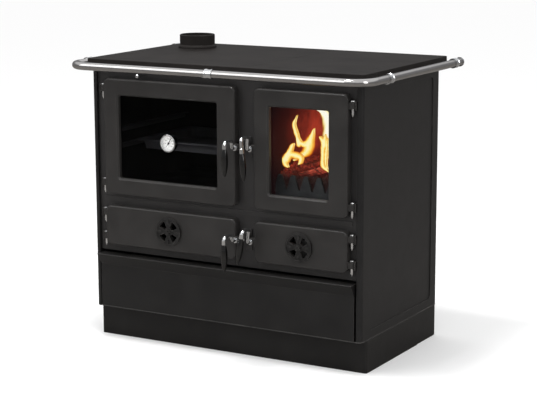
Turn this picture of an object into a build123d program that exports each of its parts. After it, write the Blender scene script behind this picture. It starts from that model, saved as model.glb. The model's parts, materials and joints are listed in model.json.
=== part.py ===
"""Wood cookstove: a free-standing cooker with a glazed oven on the left and a fire on the right.

X runs to the right seen from the front, Y runs to the back and Z runs up, in millimetres.
The origin is on the floor, in the middle of the space that the whole cooker takes up.
"""
import os
from math import cos, radians, sin

from build123d import *

# ---------------------------------------------------------------- driving sizes
# casing
hob_height = 850.0
body_width = 900.0
body_depth = 506.0
skin = 2.0
post_width = 17.0
post_round = 13.0
post_return = 26.0
sheet_bend = 3.0
side_press = 2.5
back_press = 3.0
# plinth
plinth_height = 95.0
plinth_proud = 3.0
plinth_front_recess = 31.0
plinth_back_recess = 1.0
plinth_seam_from_back = 137.0
plinth_lap = 40.0
plinth_flange = 16.0
plinth_corner = 6.0
# front frame
frame_recess = 10.0
frame_thickness = 6.0
frame_band = 2.5
frame_band_inset = 16.0
deck_height = 270.0
door_overlap = 15.0
# doors: where their outer edges stand
left_door_margin = 53.0
right_door_margin = 38.0
stile_x = 84.25
stile_width = 62.5
low_door_rise = 24.0
low_door_height = 119.0
row_gap = 36.0
main_door_drop = 56.0
door_depth = 25.0
door_corner = 16.0
door_edge_round = 5.0
low_door_plate = 8.0
low_door_rim = 13.0
# windows: margins at the left, at the right and below, then the one above
oven_window_margins = (49.0, 61.5, 49.0)
fire_window_margins = (48.0, 60.0, 45.5)
window_top_margin = 49.0
window_corner = 6.0
window_bevel = 5.0
glass_thickness = 4.0
glass_recess = 16.0
glass_lap = 9.0
clip_ledge = 9.0
clip_size = (16.0, 26.0, 3.0)
seal_width = 7.0
seal_inset = 8.5
# hinges
pin_radius = 4.0
pin_offset = 9.5
pin_tail = 22.0
lug_height = 18.0
lug_radius = 7.5
main_lug_inset = 22.0
low_lug_inset = 14.0
bracket_sheet = 2.5
bracket_reach = 3.0
bracket_gap = 1.5
# handles
spindle_radius = 5.0
ear_radius = 10.0
ear_thickness = 12.0
left_pivot_offset = 2.0
right_pivot_offset = 11.0
neck_reach = 58.0
neck_radius = 5.2
ferrule_length = 15.0
grip_length = 78.0
grip_width = 20.0
tongue_length = 20.0
tongue_height = 8.0
tongue_thickness = 6.0
# how each handle hangs: lean in degrees, shift to the right, top of the neck and top of the grip
oven_hang = (0.0, 0.0, 28.0, 2.5)
fire_hang = (-4.0, 7.0, 42.0, -6.0)
soot_hang = (0.0, -4.0, 22.0, -5.0)
ash_hang = (10.0, 0.0, 46.0, 20.0)
# latch keepers
keeper_height = 62.0
keeper_width = 15.0
keeper_plate = 3.0
keeper_hook = 2.5
# air discs
disc_shift = -2.0
disc_radius = 42.5
disc_thickness = 4.0
air_slot_inner = 13.0
air_slot_outer = 33.0
air_slot_angle = 44.0
# thermometer
dial_case_radius = 26.0
dial_case_depth = 20.0
dial_drop = 5.5
# drawer
drawer_reveal = 21.5
drawer_rise = 3.0
drawer_drop = 8.0
drawer_lip_reach = 24.0
drawer_lip_height = 34.0
drawer_box_inset = 50.0
drawer_box_back_room = 94.0
drawer_box_height = 130.0
drawer_box_drop = 12.0
runner_rise = 23.0
runner_sheet = 2.0
runner_foot = 12.0
# oven
oven_back_room = 72.0
oven_wall = 3.0
runner_leg = 14.0
oven_runner_rises = (143.0, 193.0)
tray_front_gap = 96.0
tray_back_gap = 10.0
tray_drop = 27.0
# fire
fire_back_room = 130.0
fire_wall = 3.0
brick = 26.0
grate_rise = 9.0
grate_thickness = 12.0
fence_height = 99.5
fence_thickness = 8.0
fence_teeth = 5
tooth_height = 41.5
tooth_shift = -10.0
ash_floor_drop = 3.0
ash_pan_height = 60.0
smoke_gap_height = 46.0
# hob
hob_overhang_side = 10.0
hob_overhang_front = 13.0
hob_overhang_back = 42.0
hob_thickness = 14.0
plate_thickness = 8.0
hob_border = 42.0
hob_ledge = 12.0
hob_corner = 12.0
expansion_slot_from_end = 160.0
# flue and damper
collar_radius = 55.0
collar_wall = 4.0
collar_height = 42.0
collar_flange = 60.0
collar_from_left = 82.0
collar_from_back = 96.0
flue_room_left = 68.0
flue_room_right = 76.0
flue_room_front = 62.0
damper_from_collar = 70.0
damper_drop = 42.0
damper_rod_radius = 3.0
damper_knob_radius = 6.0
# rail
rail_radius = 11.5
rail_wall = 1.5
rail_drop = 18.0
rail_gap_front = 50.0
rail_gap_side = 30.0
rail_bend = 60.0
rail_joint_x = 0.0
left_joint_from_front = 42.0
right_joint_from_front = 78.0
rear_bracket_from_back = 24.0
rear_foot_length = 28.0
rail_tail = 14.0
plug_dome = 11.0
plug_stem = 14.0
collar_length = 24.0

# ---------------------------------------------------------------- clearances
seat_gap = 0.3
running_gap = 0.05
door_gap = 1.0
drawer_gap = 0.3

# ---------------------------------------------------------------- planes worked out from them
door_proud = door_depth + door_gap - frame_recess
front_reach = door_proud + neck_reach + grip_width / 2
whole_depth = front_reach + body_depth + hob_overhang_back + rail_tail + plug_dome
post_front = -whole_depth / 2 + front_reach
body_back = post_front + body_depth
frame_face = post_front + frame_recess
frame_back = frame_face + frame_thickness
door_back = frame_face - door_gap
door_face = door_back - door_depth
half_body = body_width / 2
inner_side = half_body - skin
post_inner = half_body - post_width
hob_underside = hob_height - hob_thickness
plate_underside = hob_height - plate_thickness
hob_front = post_front - hob_overhang_front
hob_back = body_back + hob_overhang_back
hob_half = half_body + hob_overhang_side
base_top = plinth_height + skin
deck_top = deck_height + skin
oven_door_x = (-half_body + left_door_margin, stile_x - stile_width / 2)
fire_door_x = (stile_x + stile_width / 2, half_body - right_door_margin)
low_door_z = (deck_height + low_door_rise, deck_height + low_door_rise + low_door_height)
main_door_z = (low_door_z[1] + row_gap, hob_height - main_door_drop)
pin_y = (door_face + door_back) / 2 + 1.5
glass_front = door_face + glass_recess
glass_back = glass_front + glass_thickness
main_mid_z = sum(main_door_z) / 2
low_mid_z = sum(low_door_z) / 2


def grown(span, by):
    """The span made longer at both ends, or shorter when by is negative."""
    return (span[0] - by, span[1] + by)


def middle(span):
    return (span[0] + span[1]) / 2


def length(span):
    return span[1] - span[0]


oven_opening_x = grown(oven_door_x, -door_overlap)
fire_opening_x = grown(fire_door_x, -door_overlap)
main_opening_z = grown(main_door_z, -door_overlap)
low_opening_z = grown(low_door_z, -door_overlap)


# ---------------------------------------------------------------- shared shapes
def slab(x, y, z):
    """A rectangular solid between three pairs of planes."""
    return Pos(middle(x), middle(y), middle(z)) * Box(length(x), length(y), length(z))


def front_outline(x, z, corner):
    """A rounded rectangle in the X-Z plane."""
    return Pos(middle(x), middle(z)) * RectangleRounded(length(x), length(z), corner)


def front_prism(sketch, y):
    """A sketch in X and Z, carried from y[0] to y[1]."""
    return extrude(Plane.XZ.offset(-y[1]) * sketch, amount=length(y), dir=(0, -1, 0))


def side_prism(sketch, x):
    """A sketch in Y and Z, carried from x[0] to x[1]."""
    return extrude(Plane.YZ.offset(x[0]) * sketch, amount=length(x), dir=(1, 0, 0))


def plan_prism(sketch, z):
    """A sketch in X and Y, carried from z[0] to z[1]."""
    return extrude(Plane.XY.offset(z[0]) * sketch, amount=length(z), dir=(0, 0, 1))


def rod_y(x, z, radius, y):
    """A round bar along Y."""
    return front_prism(Pos(x, z) * Circle(radius), y)


def rod_z(x, y, radius, z):
    """A round bar along Z."""
    return plan_prism(Pos(x, y) * Circle(radius), z)


def rod_x(y, z, radius, x):
    """A round bar along X."""
    return side_prism(Pos(y, z) * Circle(radius), x)


def plan_outline(x, y, corner):
    """A rounded rectangle in the X-Y plane."""
    return Pos(middle(x), middle(y)) * RectangleRounded(length(x), length(y), corner)


def union(pieces):
    """The pieces joined into one solid."""
    whole = pieces[0]
    for piece in pieces[1:]:
        whole = whole + piece
    return whole


def group(pieces):
    """Separate solids that share a node."""
    return Compound(children=[piece.solid() for piece in pieces])


# ---------------------------------------------------------------- plinth and casing
plinth_x = (-half_body - plinth_proud, half_body + plinth_proud)
plinth_y = (post_front + plinth_front_recess, body_back - plinth_back_recess)
plinth_seam = body_back - plinth_seam_from_back


def plinth_channel(x, y, corner, open_back):
    """A folded sheet U with flanges turned in along its top and bottom edges."""
    past = 3 * corner
    keep = (y[0], y[1] + past) if open_back else (y[0] - past, y[1])
    wall_y = (y[0] + skin, y[1] + 2 * past) if open_back else (y[0] - 2 * past, y[1] - skin)
    flange_y = (y[0] + plinth_flange, wall_y[1]) if open_back else (wall_y[0], y[1] - plinth_flange)
    outside = plan_outline(x, keep, corner)
    wall = outside - plan_outline(grown(x, -skin), wall_y, corner - skin)
    flange = outside - plan_outline(grown(x, -plinth_flange), flange_y, corner - skin)
    channel = plan_prism(wall, (0, plinth_height))
    for low in (0, plinth_height - skin):
        channel = channel + plan_prism(flange, (low, low + skin))
    return channel & slab(grown(x, 10), y, (-1, plinth_height + 1))


def plinth_front():
    return plinth_channel(plinth_x, (plinth_y[0], plinth_seam), plinth_corner, True)


def plinth_rear():
    """The back U slides inside the front one, so the joint shows as a small step."""
    x = grown(plinth_x, -skin - seat_gap)
    channel = plinth_channel(x, (plinth_seam - plinth_lap, plinth_y[1]), plinth_corner, False)
    lap = (plinth_seam - plinth_lap - 1, plinth_seam + seat_gap)
    for z in ((-1, skin + seat_gap), (plinth_height - skin - seat_gap, plinth_height + 1)):
        channel = channel - slab(grown(x, 5), lap, z)
    return channel


def base_plate():
    plate = slab((-half_body, half_body), (post_front, body_back), (plinth_height, base_top))
    return fillet(plate.edges().filter_by(Axis.Z).group_by(Axis.Y)[0], post_round)


def side_panel(sign):
    """One sheet: a rolled front post, a side with a pressed field, and a return at the back."""
    path = FilletPolyline(
        (post_inner, post_front + post_return),
        (post_inner, post_front),
        (half_body, post_front),
        (half_body, body_back),
        (half_body - post_return, body_back),
        radius=[sheet_bend, post_round, sheet_bend],
    )
    sheet = make_face(offset(path, amount=skin, side=Side.LEFT, closed=True).edges())
    panel = plan_prism(sheet, (base_top, hob_underside))
    field_y = (post_front + 54, body_back - 40)
    field_z = (plinth_height + 26, hob_underside - 40)
    inner = side_prism(Pos(middle(field_y), middle(field_z))
                       * RectangleRounded(length(field_y) + 2 * skin, length(field_z) + 2 * skin, 20),
                       (inner_side - side_press, inner_side))
    outer = side_prism(Pos(middle(field_y), middle(field_z))
                       * RectangleRounded(length(field_y), length(field_z), 18),
                       (half_body - side_press, half_body + 1))
    panel = panel + inner - outer
    return panel if sign > 0 else mirror(panel, about=Plane.YZ)


def back_panel():
    """A flat sheet between the side returns, stiffened by one pressed field."""
    back_x = grown((-inner_side, inner_side), -sheet_bend)
    face = body_back - skin
    sheet = slab(back_x, (face - skin, face), (base_top, hob_underside))
    field_x = grown(back_x, -70)
    field_z = (deck_top + 50, hob_underside - 60)
    bump = front_prism(front_outline(field_x, field_z, 30), (face - skin - back_press, face - skin))
    dish = front_prism(front_outline(grown(field_x, -skin), grown(field_z, -skin), 28),
                       (face - back_press, face + 1))
    return sheet + bump - dish


def front_frame():
    """The cast front plate, with an opening behind each door and a raised band between the rows."""
    plate = slab((-post_inner, post_inner), (frame_face, frame_back), (deck_top, hob_underside))
    for x in (oven_opening_x, fire_opening_x):
        for z in (main_opening_z, low_opening_z):
            plate = plate - slab(x, grown((frame_face, frame_back), 1), z)
    band_z = grown((low_door_z[1], main_door_z[0]), -12)
    band_y = (frame_face - frame_band, frame_face)
    plate = plate + slab(grown((-post_inner, post_inner), -frame_band_inset), band_y, band_z)
    hole = rod_y(damper_x, damper_height, damper_rod_radius + running_gap, grown((frame_face, frame_back), 1))
    return plate - hole


def drawer_deck():
    """The floor under the doors, over the drawer space."""
    front_y = (frame_face, post_front + post_return + seat_gap)
    rear_y = (front_y[1], body_back - 2 * skin)
    front = slab((-post_inner, post_inner), front_y, (deck_height, deck_top))
    width = inner_side - side_press
    return front + slab((-width, width), rear_y, (deck_height, deck_top))


# ---------------------------------------------------------------- drawer and its runners
runner_z = plinth_height + runner_rise
runner_slot = runner_sheet + 2 * drawer_gap
runner_y = (post_front + post_return + 4, body_back - 40)
runner_wall = post_inner
drawer_half = half_body - drawer_reveal
drawer_bottom = plinth_height + drawer_rise
drawer_top = deck_height - drawer_drop
drawer_face = post_front - 2
drawer_front_back = post_front + 18
drawer_box_front = drawer_face + skin
drawer_box_half = half_body - drawer_box_inset
drawer_box_y = (drawer_box_front, body_back - drawer_box_back_room)
drawer_box_z = (runner_z - drawer_box_drop, runner_z - drawer_box_drop + drawer_box_height)


def drawer_runners():
    """Two channels on standing webs, screwed to the base plate just inboard of the posts."""
    height = 2 * runner_sheet + runner_slot
    channels = []
    for sign in (-1, 1):
        mouth_x = sign * (drawer_box_half + 6)
        wall_x = sign * runner_wall
        inner_x = wall_x - sign * runner_sheet
        channel = slab(sorted((wall_x, mouth_x)), runner_y, (runner_z, runner_z + height))
        slot_x = sorted((inner_x, mouth_x - sign))
        channel = channel - slab(slot_x, grown(runner_y, 1), grown((runner_z, runner_z + height), -runner_sheet))
        web = slab(sorted((wall_x, inner_x)), runner_y, (base_top, runner_z + height))
        foot = slab(sorted((inner_x, wall_x + sign * runner_foot)), runner_y, (base_top, base_top + runner_sheet))
        channels.append(channel + web + foot)
    return group(channels)


def drawer_front():
    """A folded front: its top leans forward as a full-width finger lip."""
    face = drawer_face
    lip = face - drawer_lip_reach + 2
    half = drawer_half
    outline = Polygon(
        (drawer_front_back, drawer_bottom),
        (face, drawer_bottom),
        (face, drawer_top - drawer_lip_height),
        (lip, drawer_top),
        (drawer_front_back, drawer_top),
        align=None,
    )
    hollow = Polygon(
        (drawer_front_back + 1, drawer_bottom + skin),
        (face + skin, drawer_bottom + skin),
        (face + skin, drawer_top - drawer_lip_height + skin / 2),
        (lip + 2 * skin, drawer_top - skin),
        (drawer_front_back + 1, drawer_top - skin),
        align=None,
    )
    shell = side_prism(outline, (-half, half))
    shell = shell - side_prism(hollow, (-half + skin, half - skin))
    corners = shell.edges().filter_by(Axis.X).group_by(Axis.Y)[0]
    return fillet(corners.group_by(Axis.Z)[-1], 1.5)


def drawer_box():
    """A folded sheet box with a flange on each side that runs in the channels."""
    half = drawer_box_half
    y = drawer_box_y
    z = drawer_box_z
    box = slab((-half, half), y, z)
    box = box - slab(grown((-half, half), -skin), grown(y, -skin), (z[0] + skin, z[1] + 1))
    flange_z = (runner_z + runner_sheet + drawer_gap, runner_z + 2 * runner_sheet + drawer_gap)
    flange_x = runner_wall - runner_sheet - 2
    flange_y = (runner_y[0], y[1])
    for sign in (-1, 1):
        x = sorted((sign * (half - skin), sign * flange_x))
        box = box + slab(x, flange_y, flange_z)
    return box


# ---------------------------------------------------------------- oven and the soot box under it
oven_y = (frame_back, body_back - oven_back_room)
runner_heights = [main_door_z[0] + rise for rise in oven_runner_rises]


def open_box(x, z, y, wall):
    """A five-sided sheet box, open at the front, with its inside at the given x and z."""
    back = y[1] + wall
    outside = slab(grown(x, wall), (y[0], back), grown(z, wall))
    return outside - slab(x, (y[0] - 1, y[1]), z)


def oven_box():
    return open_box(oven_opening_x, main_opening_z, oven_y, oven_wall)


def soot_box():
    z = (low_opening_z[0], low_opening_z[1] + 1)
    return open_box(oven_opening_x, z, oven_y, skin)


def oven_runners():
    """Four pressed angles, two levels on each oven wall."""
    strips = []
    y = (oven_y[0] + 40, oven_y[1] - 30)
    for level in runner_heights:
        for side, sign in ((oven_opening_x[0], 1), (oven_opening_x[1], -1)):
            leg_x = sorted((side, side + sign * runner_leg))
            web_x = sorted((side, side + sign * skin))
            leg = slab(leg_x, y, (level, level + skin))
            web = slab(web_x, y, (level - runner_leg, level))
            strips.append(leg + web)
    return group(strips)


tray_rim_x = grown(oven_opening_x, -1.5 - seat_gap)
tray_y = (oven_y[0] + tray_front_gap, oven_y[1] - tray_back_gap)
tray_rim_z = (runner_heights[0] + skin, runner_heights[0] + 2 * skin)


def oven_tray():
    """A pressed baking tray: flat rim, sloping sides, hung on the lower runners."""
    rim = plan_prism(plan_outline(tray_rim_x, tray_y, 14), tray_rim_z)
    inset = runner_leg + 5
    taper = 5

    def pan(shrink, low, high):
        top_x, top_y = grown(tray_rim_x, -inset - shrink), grown(tray_y, -inset - shrink)
        upper = Plane.XY.offset(high) * plan_outline(top_x, top_y, 12)
        lower = Plane.XY.offset(low) * plan_outline(grown(top_x, -taper), grown(top_y, -taper), 12)
        return loft([lower.face(), upper.face()])

    floor = tray_rim_z[0] - tray_drop
    body = pan(0, floor, tray_rim_z[1])
    hollow = pan(skin, floor + skin, tray_rim_z[1] + 1)
    return rim + body - hollow


# ---------------------------------------------------------------- fire
fire_y = (frame_back, body_back - fire_back_room)
grate_height = main_door_z[0] + grate_rise
ledge_z = (grate_height - grate_thickness - 6, grate_height - grate_thickness)
brick_y = (fire_y[0] + 6, fire_y[1])
chamber_x = grown(fire_opening_x, -brick)
chamber_y = (brick_y[0], brick_y[1] - brick)
fence_y = (brick_y[0] + 16, brick_y[0] + 16 + fence_thickness)
ash_floor_top = low_opening_z[0] - ash_floor_drop


def firebox_shell():
    """Steel casing round the fire: three walls, a ledge for the grate, an ash floor, a smoke gap."""
    x = grown(fire_opening_x, fire_wall)
    y = (fire_y[0], fire_y[1] + fire_wall)
    walls = slab(x, y, (deck_top, hob_underside))
    walls = walls - slab(fire_opening_x, (y[0] - 1, fire_y[1]), (deck_top - 1, hob_underside + 1))
    ring = slab(fire_opening_x, fire_y, ledge_z)
    ring = ring - slab(grown(chamber_x, -10), (fence_y[1] + 4, chamber_y[1] - 10), grown(ledge_z, 1))
    floor = slab(fire_opening_x, fire_y, (ash_floor_top - fire_wall, ash_floor_top))
    smoke_z = (hob_underside - smoke_gap_height, hob_underside + 1)
    smoke_gap = slab((x[0] - 1, x[0] + fire_wall + 1), (fire_y[0] + 40, fire_y[1] - 60), smoke_z)
    return walls + ring + floor - smoke_gap


def fire_bricks():
    """Two courses of brick on each side and at the back, standing on the ledge."""
    joint = 0.6
    top = main_opening_z[1] - 20
    course = (top - ledge_z[1] - joint) / 2
    bricks = []
    for row in (0, 1):
        low = ledge_z[1] + row * (course + joint)
        z = (low, low + course)
        for wall, sign in ((fire_opening_x[0], 1), (fire_opening_x[1], -1)):
            x = sorted((wall, wall + sign * brick))
            bricks.append(slab(x, (brick_y[0], brick_y[1] - brick - joint), z))
        bricks.append(slab(fire_opening_x, (brick_y[1] - brick, brick_y[1]), z))
    return group([chamfer(block.edges().filter_by(Axis.Z), 1.5) for block in bricks])


def fire_grate():
    """A cast grate with long slots, lying on the ledge inside the bricks."""
    x = grown(chamber_x, -seat_gap)
    y = (fence_y[1] + seat_gap, chamber_y[1] - seat_gap)
    grate = slab(x, y, (ledge_z[1], grate_height))
    rib = 11.0
    slot = 11.0
    count = int((length(x) - 2 * rib) // (rib + slot))
    first = middle(x) - (count - 1) * (rib + slot) / 2
    slot_y = grown(y, -20)
    half_y = ((slot_y[0], middle(y) - rib / 2), (middle(y) + rib / 2, slot_y[1]))
    for index in range(count):
        centre = first + index * (rib + slot)
        for run in half_y:
            grate = grate - slab((centre - slot / 2, centre + slot / 2), run, grown((ledge_z[1], grate_height), 1))
    return grate


def fire_fence():
    """The toothed plate that keeps logs back from the glass."""
    x = grown(chamber_x, -seat_gap)
    foot = ledge_z[1]
    tip = foot + fence_height
    root = tip - tooth_height
    pitch = length(x) / (fence_teeth + 0.1)
    first = middle(x) + tooth_shift - (fence_teeth - 1) * pitch / 2
    plate = front_prism(front_outline(x, (foot, tip), 3), fence_y)
    flat = 4.0
    for index in range(-1, fence_teeth):
        centre = first + (index + 0.5) * pitch
        half = pitch / 2 - 5.0
        notch = Polygon((centre - flat / 2, root), (centre + flat / 2, root),
                        (centre + half, tip + 1), (centre - half, tip + 1), align=None)
        plate = plate - front_prism(notch, grown(fence_y, 1))
    return plate.solids().sort_by(Axis.Z)[0] if len(plate.solids()) > 1 else plate


pan_x = grown(fire_opening_x, -12)
pan_y = (frame_back + 8, fire_y[1] - 30)
pan_z = (ash_floor_top, ash_floor_top + ash_pan_height)


def ash_pan():
    """A folded pan, and the bent-wire pull welded to its front."""
    pan = slab(pan_x, pan_y, pan_z) - slab(grown(pan_x, -skin), grown(pan_y, -skin), (pan_z[0] + skin, pan_z[1] + 1))
    wire = 3.0
    half = 45.0
    reach = pan_y[0] - 12
    pull_z = pan_z[1] - 16
    bar = rod_x(reach, pull_z, wire, (middle(pan_x) - half, middle(pan_x) + half))
    legs = [rod_y(middle(pan_x) + sign * half, pull_z, wire, (reach - wire / 2, pan_y[0])) for sign in (-1, 1)]
    return group([pan, union([bar] + legs)])


# ---------------------------------------------------------------- flue and damper
collar_x = -hob_half + hob_border + collar_from_left
collar_y = hob_back - hob_border - collar_from_back
damper_x = collar_x + damper_from_collar
damper_height = hob_height - damper_drop
flue_x = (collar_x - flue_room_left, collar_x + flue_room_right)
flue_y = (collar_y - flue_room_front, hob_back - hob_border - hob_ledge - seat_gap)
flue_z = (main_opening_z[1] + oven_wall, plate_underside)
damper_opening_x = grown(flue_x, -16)
damper_opening_z = (flue_z[0] + 8, flue_z[1] - 16)


def flue_box():
    """Sheet duct under the collar, open below to the passage behind the oven."""
    box = slab(flue_x, flue_y, flue_z)
    box = box - slab(grown(flue_x, -skin), grown(flue_y, -skin), grown(flue_z, 1))
    mouth = front_prism(front_outline(damper_opening_x, damper_opening_z, 6), (flue_y[0] - 1, flue_y[0] + skin + 1))
    return box - mouth


def flue_collar():
    """A cast spigot with a seating flange."""
    profile = Polygon(
        (collar_radius - collar_wall, 0),
        (collar_flange, 0),
        (collar_flange, 4),
        (collar_radius + 4, 7),
        (collar_radius, 11),
        (collar_radius, collar_height - 1.5),
        (collar_radius - 1.5, collar_height),
        (collar_radius - collar_wall, collar_height),
        align=None,
    )
    return Pos(collar_x, collar_y, hob_height) * revolve(Plane.XZ * profile, Axis.Z)


def damper_rod():
    """The pull: a polished knob on a long rod through the front frame."""
    tip = door_face - 10
    rod = rod_y(damper_x, damper_height, damper_rod_radius, (tip, damper_plate_y[0]))
    knob = Pos(damper_x, tip - 4, damper_height) * Sphere(damper_knob_radius)
    neck = rod_y(damper_x, damper_height, damper_rod_radius + 1.2, (tip - 2, tip + 7))
    return union([rod, knob, neck])


damper_plate_y = (flue_y[0] - seat_gap - 3, flue_y[0] - seat_gap)


def damper_plate():
    """The flap that closes the duct's mouth when the knob is pushed in."""
    return front_prism(front_outline(grown(damper_opening_x, 8), (flue_z[0] + 1.5, damper_opening_z[1] + 8), 6),
                       damper_plate_y)


# ---------------------------------------------------------------- hob
hob_x = (-hob_half, hob_half)
hob_y = (hob_front, hob_back)
plate_y = grown(hob_y, -hob_border)
plate_area_x = grown(hob_x, -hob_border)
plate_joint_x = stile_x
expansion_slot_x = hob_half - expansion_slot_from_end


def hob_frame():
    """Cast surround with a ledge for the plates, a bar under their joint and an expansion slot."""
    ring = plan_prism(plan_outline(hob_x, hob_y, hob_corner), (hob_underside, hob_height))
    top_edges = ring.faces().sort_by(Axis.Z)[-1].edges()
    ring = fillet(top_edges, 2.0)
    ring = ring - slab(plate_area_x, plate_y, (plate_underside, hob_height + 1))
    ledge_y = grown(plate_y, -hob_ledge)
    left = (plate_area_x[0] + hob_ledge, plate_joint_x - hob_ledge)
    right = (plate_joint_x + hob_ledge, plate_area_x[1] - hob_ledge)
    for x in (left, right):
        ring = ring - slab(x, ledge_y, (hob_underside - 1, hob_height + 1))
    slot = slab((expansion_slot_x - 0.8, expansion_slot_x + 0.8), (hob_y[0] - 1, plate_y[0] + 1),
                (hob_underside - 1, hob_height + 1))
    return ring - slot


def hob_plate(x, lift):
    """One cast cooking plate, dropped into the surround."""
    y = grown(plate_y, -0.5)
    plate = slab(x, y, (plate_underside + lift, hob_height))
    return chamfer(plate.edges().group_by(Axis.Z)[-1], 1.0)


def hob_plate_left():
    plate = hob_plate((plate_area_x[0] + 0.5, plate_joint_x - 0.3), 0)
    return plate - rod_z(collar_x, collar_y, collar_radius - collar_wall, (plate_underside - 1, hob_height + 1))


def hob_plate_right():
    return hob_plate((plate_joint_x + 0.3, plate_area_x[1] - 0.5), seat_gap)


# ---------------------------------------------------------------- rail
rail_height = hob_height - rail_drop
rail_half_width = hob_half + rail_gap_side
rail_y = hob_front - rail_gap_front
rail_end_y = hob_back + rail_tail
arm_z = hob_underside - 6
arm_radius = 5.5
rear_bracket_y = hob_back - rear_bracket_from_back


def tube(path):
    """A polished tube carried along a path that starts along X or Y."""
    section = Plane(origin=path @ 0, z_dir=path % 0)
    ring = section * (Circle(rail_radius) - Circle(rail_radius - rail_wall))
    return sweep(ring, path=path)


def rail_joint_y(sign):
    """Where the bent front tube meets the straight side tube."""
    return post_front + (left_joint_from_front if sign < 0 else right_joint_from_front)


def rail_corner_tube(sign):
    """Half of the front rail, bent round the corner to the side collar."""
    path = FilletPolyline(
        (rail_joint_x, rail_y, rail_height),
        (sign * rail_half_width, rail_y, rail_height),
        (sign * rail_half_width, rail_joint_y(sign), rail_height),
        radius=rail_bend,
    )
    return tube(path)


def rail_side_tube(sign):
    x = sign * rail_half_width
    return tube(Line((x, rail_joint_y(sign), rail_height), (x, rail_end_y, rail_height)))


def beaded_collar():
    """A turned collar about the Z axis: a plain waist between two rolled beads."""
    half = collar_length / 2
    waist = rail_radius + 1.8
    bead = rail_radius + 3.2
    inner = rail_radius + running_gap
    outline = Polygon(
        (inner, -half), (bead, -half), (bead, -half + 4), (waist, -half + 5.5),
        (waist, half - 5.5), (bead, half - 4), (bead, half), (inner, half), align=None)
    return revolve(Plane.XZ * outline, Axis.Z)


def rail_bracket(along_y, x, y, foot):
    """A collar round the rail with an arm to the casing, ending in a small foot."""
    half = collar_length / 2
    turn = Rot(90, 0, 0) if along_y else Rot(0, 90, 0)
    ring = Pos(x, y, rail_height) * turn * beaded_collar()
    if along_y:
        bore = rod_y(x, rail_height, rail_radius + running_gap, (y - half - 1, y + half + 1))
        arm = rod_x(y, arm_z, arm_radius, sorted((x, foot)))
        pad_x = sorted((foot, foot + (3 if x > foot else -3)))
        pad = slab(pad_x, (y - 14, y + 14), (arm_z - 9, hob_underside))
    else:
        bore = rod_x(y, rail_height, rail_radius + running_gap, (x - half - 1, x + half + 1))
        arm = rod_y(x, arm_z, arm_radius, (y, foot))
        pad = slab((x - 14, x + 14), (foot - 3, foot), (arm_z - 9, hob_underside))
    return ring + arm + pad - bore


def rear_bracket(sign):
    """A collar near the rail's end whose arm is screwed up under the hob's overhang."""
    x = sign * rail_half_width
    half = collar_length / 2
    foot_end = sign * (hob_half - rear_foot_length)
    ring = Pos(x, rear_bracket_y, rail_height) * Rot(90, 0, 0) * beaded_collar()
    arm = rod_x(rear_bracket_y, arm_z, arm_radius, sorted((x, foot_end)))
    foot = slab(sorted((foot_end, sign * (hob_half - 3))), grown((rear_bracket_y, rear_bracket_y), 10),
                (hob_underside - 3, hob_underside))
    bore = rod_y(x, rail_height, rail_radius + running_gap, grown((rear_bracket_y, rear_bracket_y), half + 1))
    return ring + arm + foot - bore


def rail_brackets():
    """Five chromed brackets: one at the front joint, one at each side joint and one near each end."""
    brackets = [rail_bracket(False, rail_joint_x, rail_y, frame_face)]
    for sign in (-1, 1):
        brackets.append(rail_bracket(True, sign * rail_half_width, rail_joint_y(sign), sign * half_body))
        brackets.append(rear_bracket(sign))
    return group(brackets)


def rail_ends():
    """Domed plugs that close the two tubes at the back."""
    plugs = []
    stem = rail_radius - rail_wall - running_gap
    rim = rail_radius + 2.5
    profile = Polygon((0, -plug_stem), (stem, -plug_stem), (stem, 0), (rim, 0), (rim, plug_dome - 6),
                      (rim - 3.5, plug_dome - 2), (rim - 8.5, plug_dome), (0, plug_dome), align=None)
    for sign in (-1, 1):
        plug = revolve(Plane.XY * profile, Axis.Y)
        plugs.append(Pos(sign * rail_half_width, rail_end_y, rail_height) * plug)
    return group(plugs)


# ---------------------------------------------------------------- hinges
def hinge_levels(z, inset):
    """Bottoms of the two lugs of a door."""
    return (z[0] + inset, z[1] - inset - lug_height)


def all_hinges():
    """Pin position and lug bottom of every hinge: side, x and z."""
    found = []
    for sign, edge in ((-1, oven_door_x[0]), (1, fire_door_x[1])):
        for z, inset in ((main_door_z, main_lug_inset), (low_door_z, low_lug_inset)):
            for low in hinge_levels(z, inset):
                found.append((sign, edge + sign * pin_offset, low))
    return found


def hinge_brackets():
    """Cranked plates on the front frame: a standing leg and an ear over the door's lug."""
    brackets = []
    for sign, x, low in all_hinges():
        ear_low = low + lug_height + seat_gap
        ear_z = (ear_low, ear_low + bracket_sheet)
        leg_x = sorted((x + sign * (lug_radius + bracket_gap), x + sign * (lug_radius + bracket_gap + bracket_sheet)))
        leg = slab(leg_x, (pin_y - bracket_reach, frame_face), (low - 4, ear_z[1]))
        ear_x = sorted((x, x + sign * (lug_radius + bracket_gap + bracket_sheet)))
        ear = slab(ear_x, (pin_y - bracket_reach, frame_face), ear_z) + rod_z(x, pin_y, lug_radius, ear_z)
        brackets.append(leg + ear - rod_z(x, pin_y, pin_radius + running_gap, grown(ear_z, 1)))
    return group(brackets)


def hinge_pins():
    """Drop-in pins with a flat head above the ear and a pointed tail below the lug."""
    pins = []
    for _, x, low in all_hinges():
        top = low + lug_height + seat_gap + bracket_sheet
        profile = Polygon((0, low - pin_tail), (1.2, low - pin_tail), (pin_radius, low - pin_tail + 6),
                          (pin_radius, top), (pin_radius + 2, top), (pin_radius + 1.4, top + 2.6),
                          (0, top + 2.6), align=None)
        pins.append(Pos(x, pin_y, 0) * revolve(Plane.XZ * profile, Axis.Z))
    return group(pins)


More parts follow.
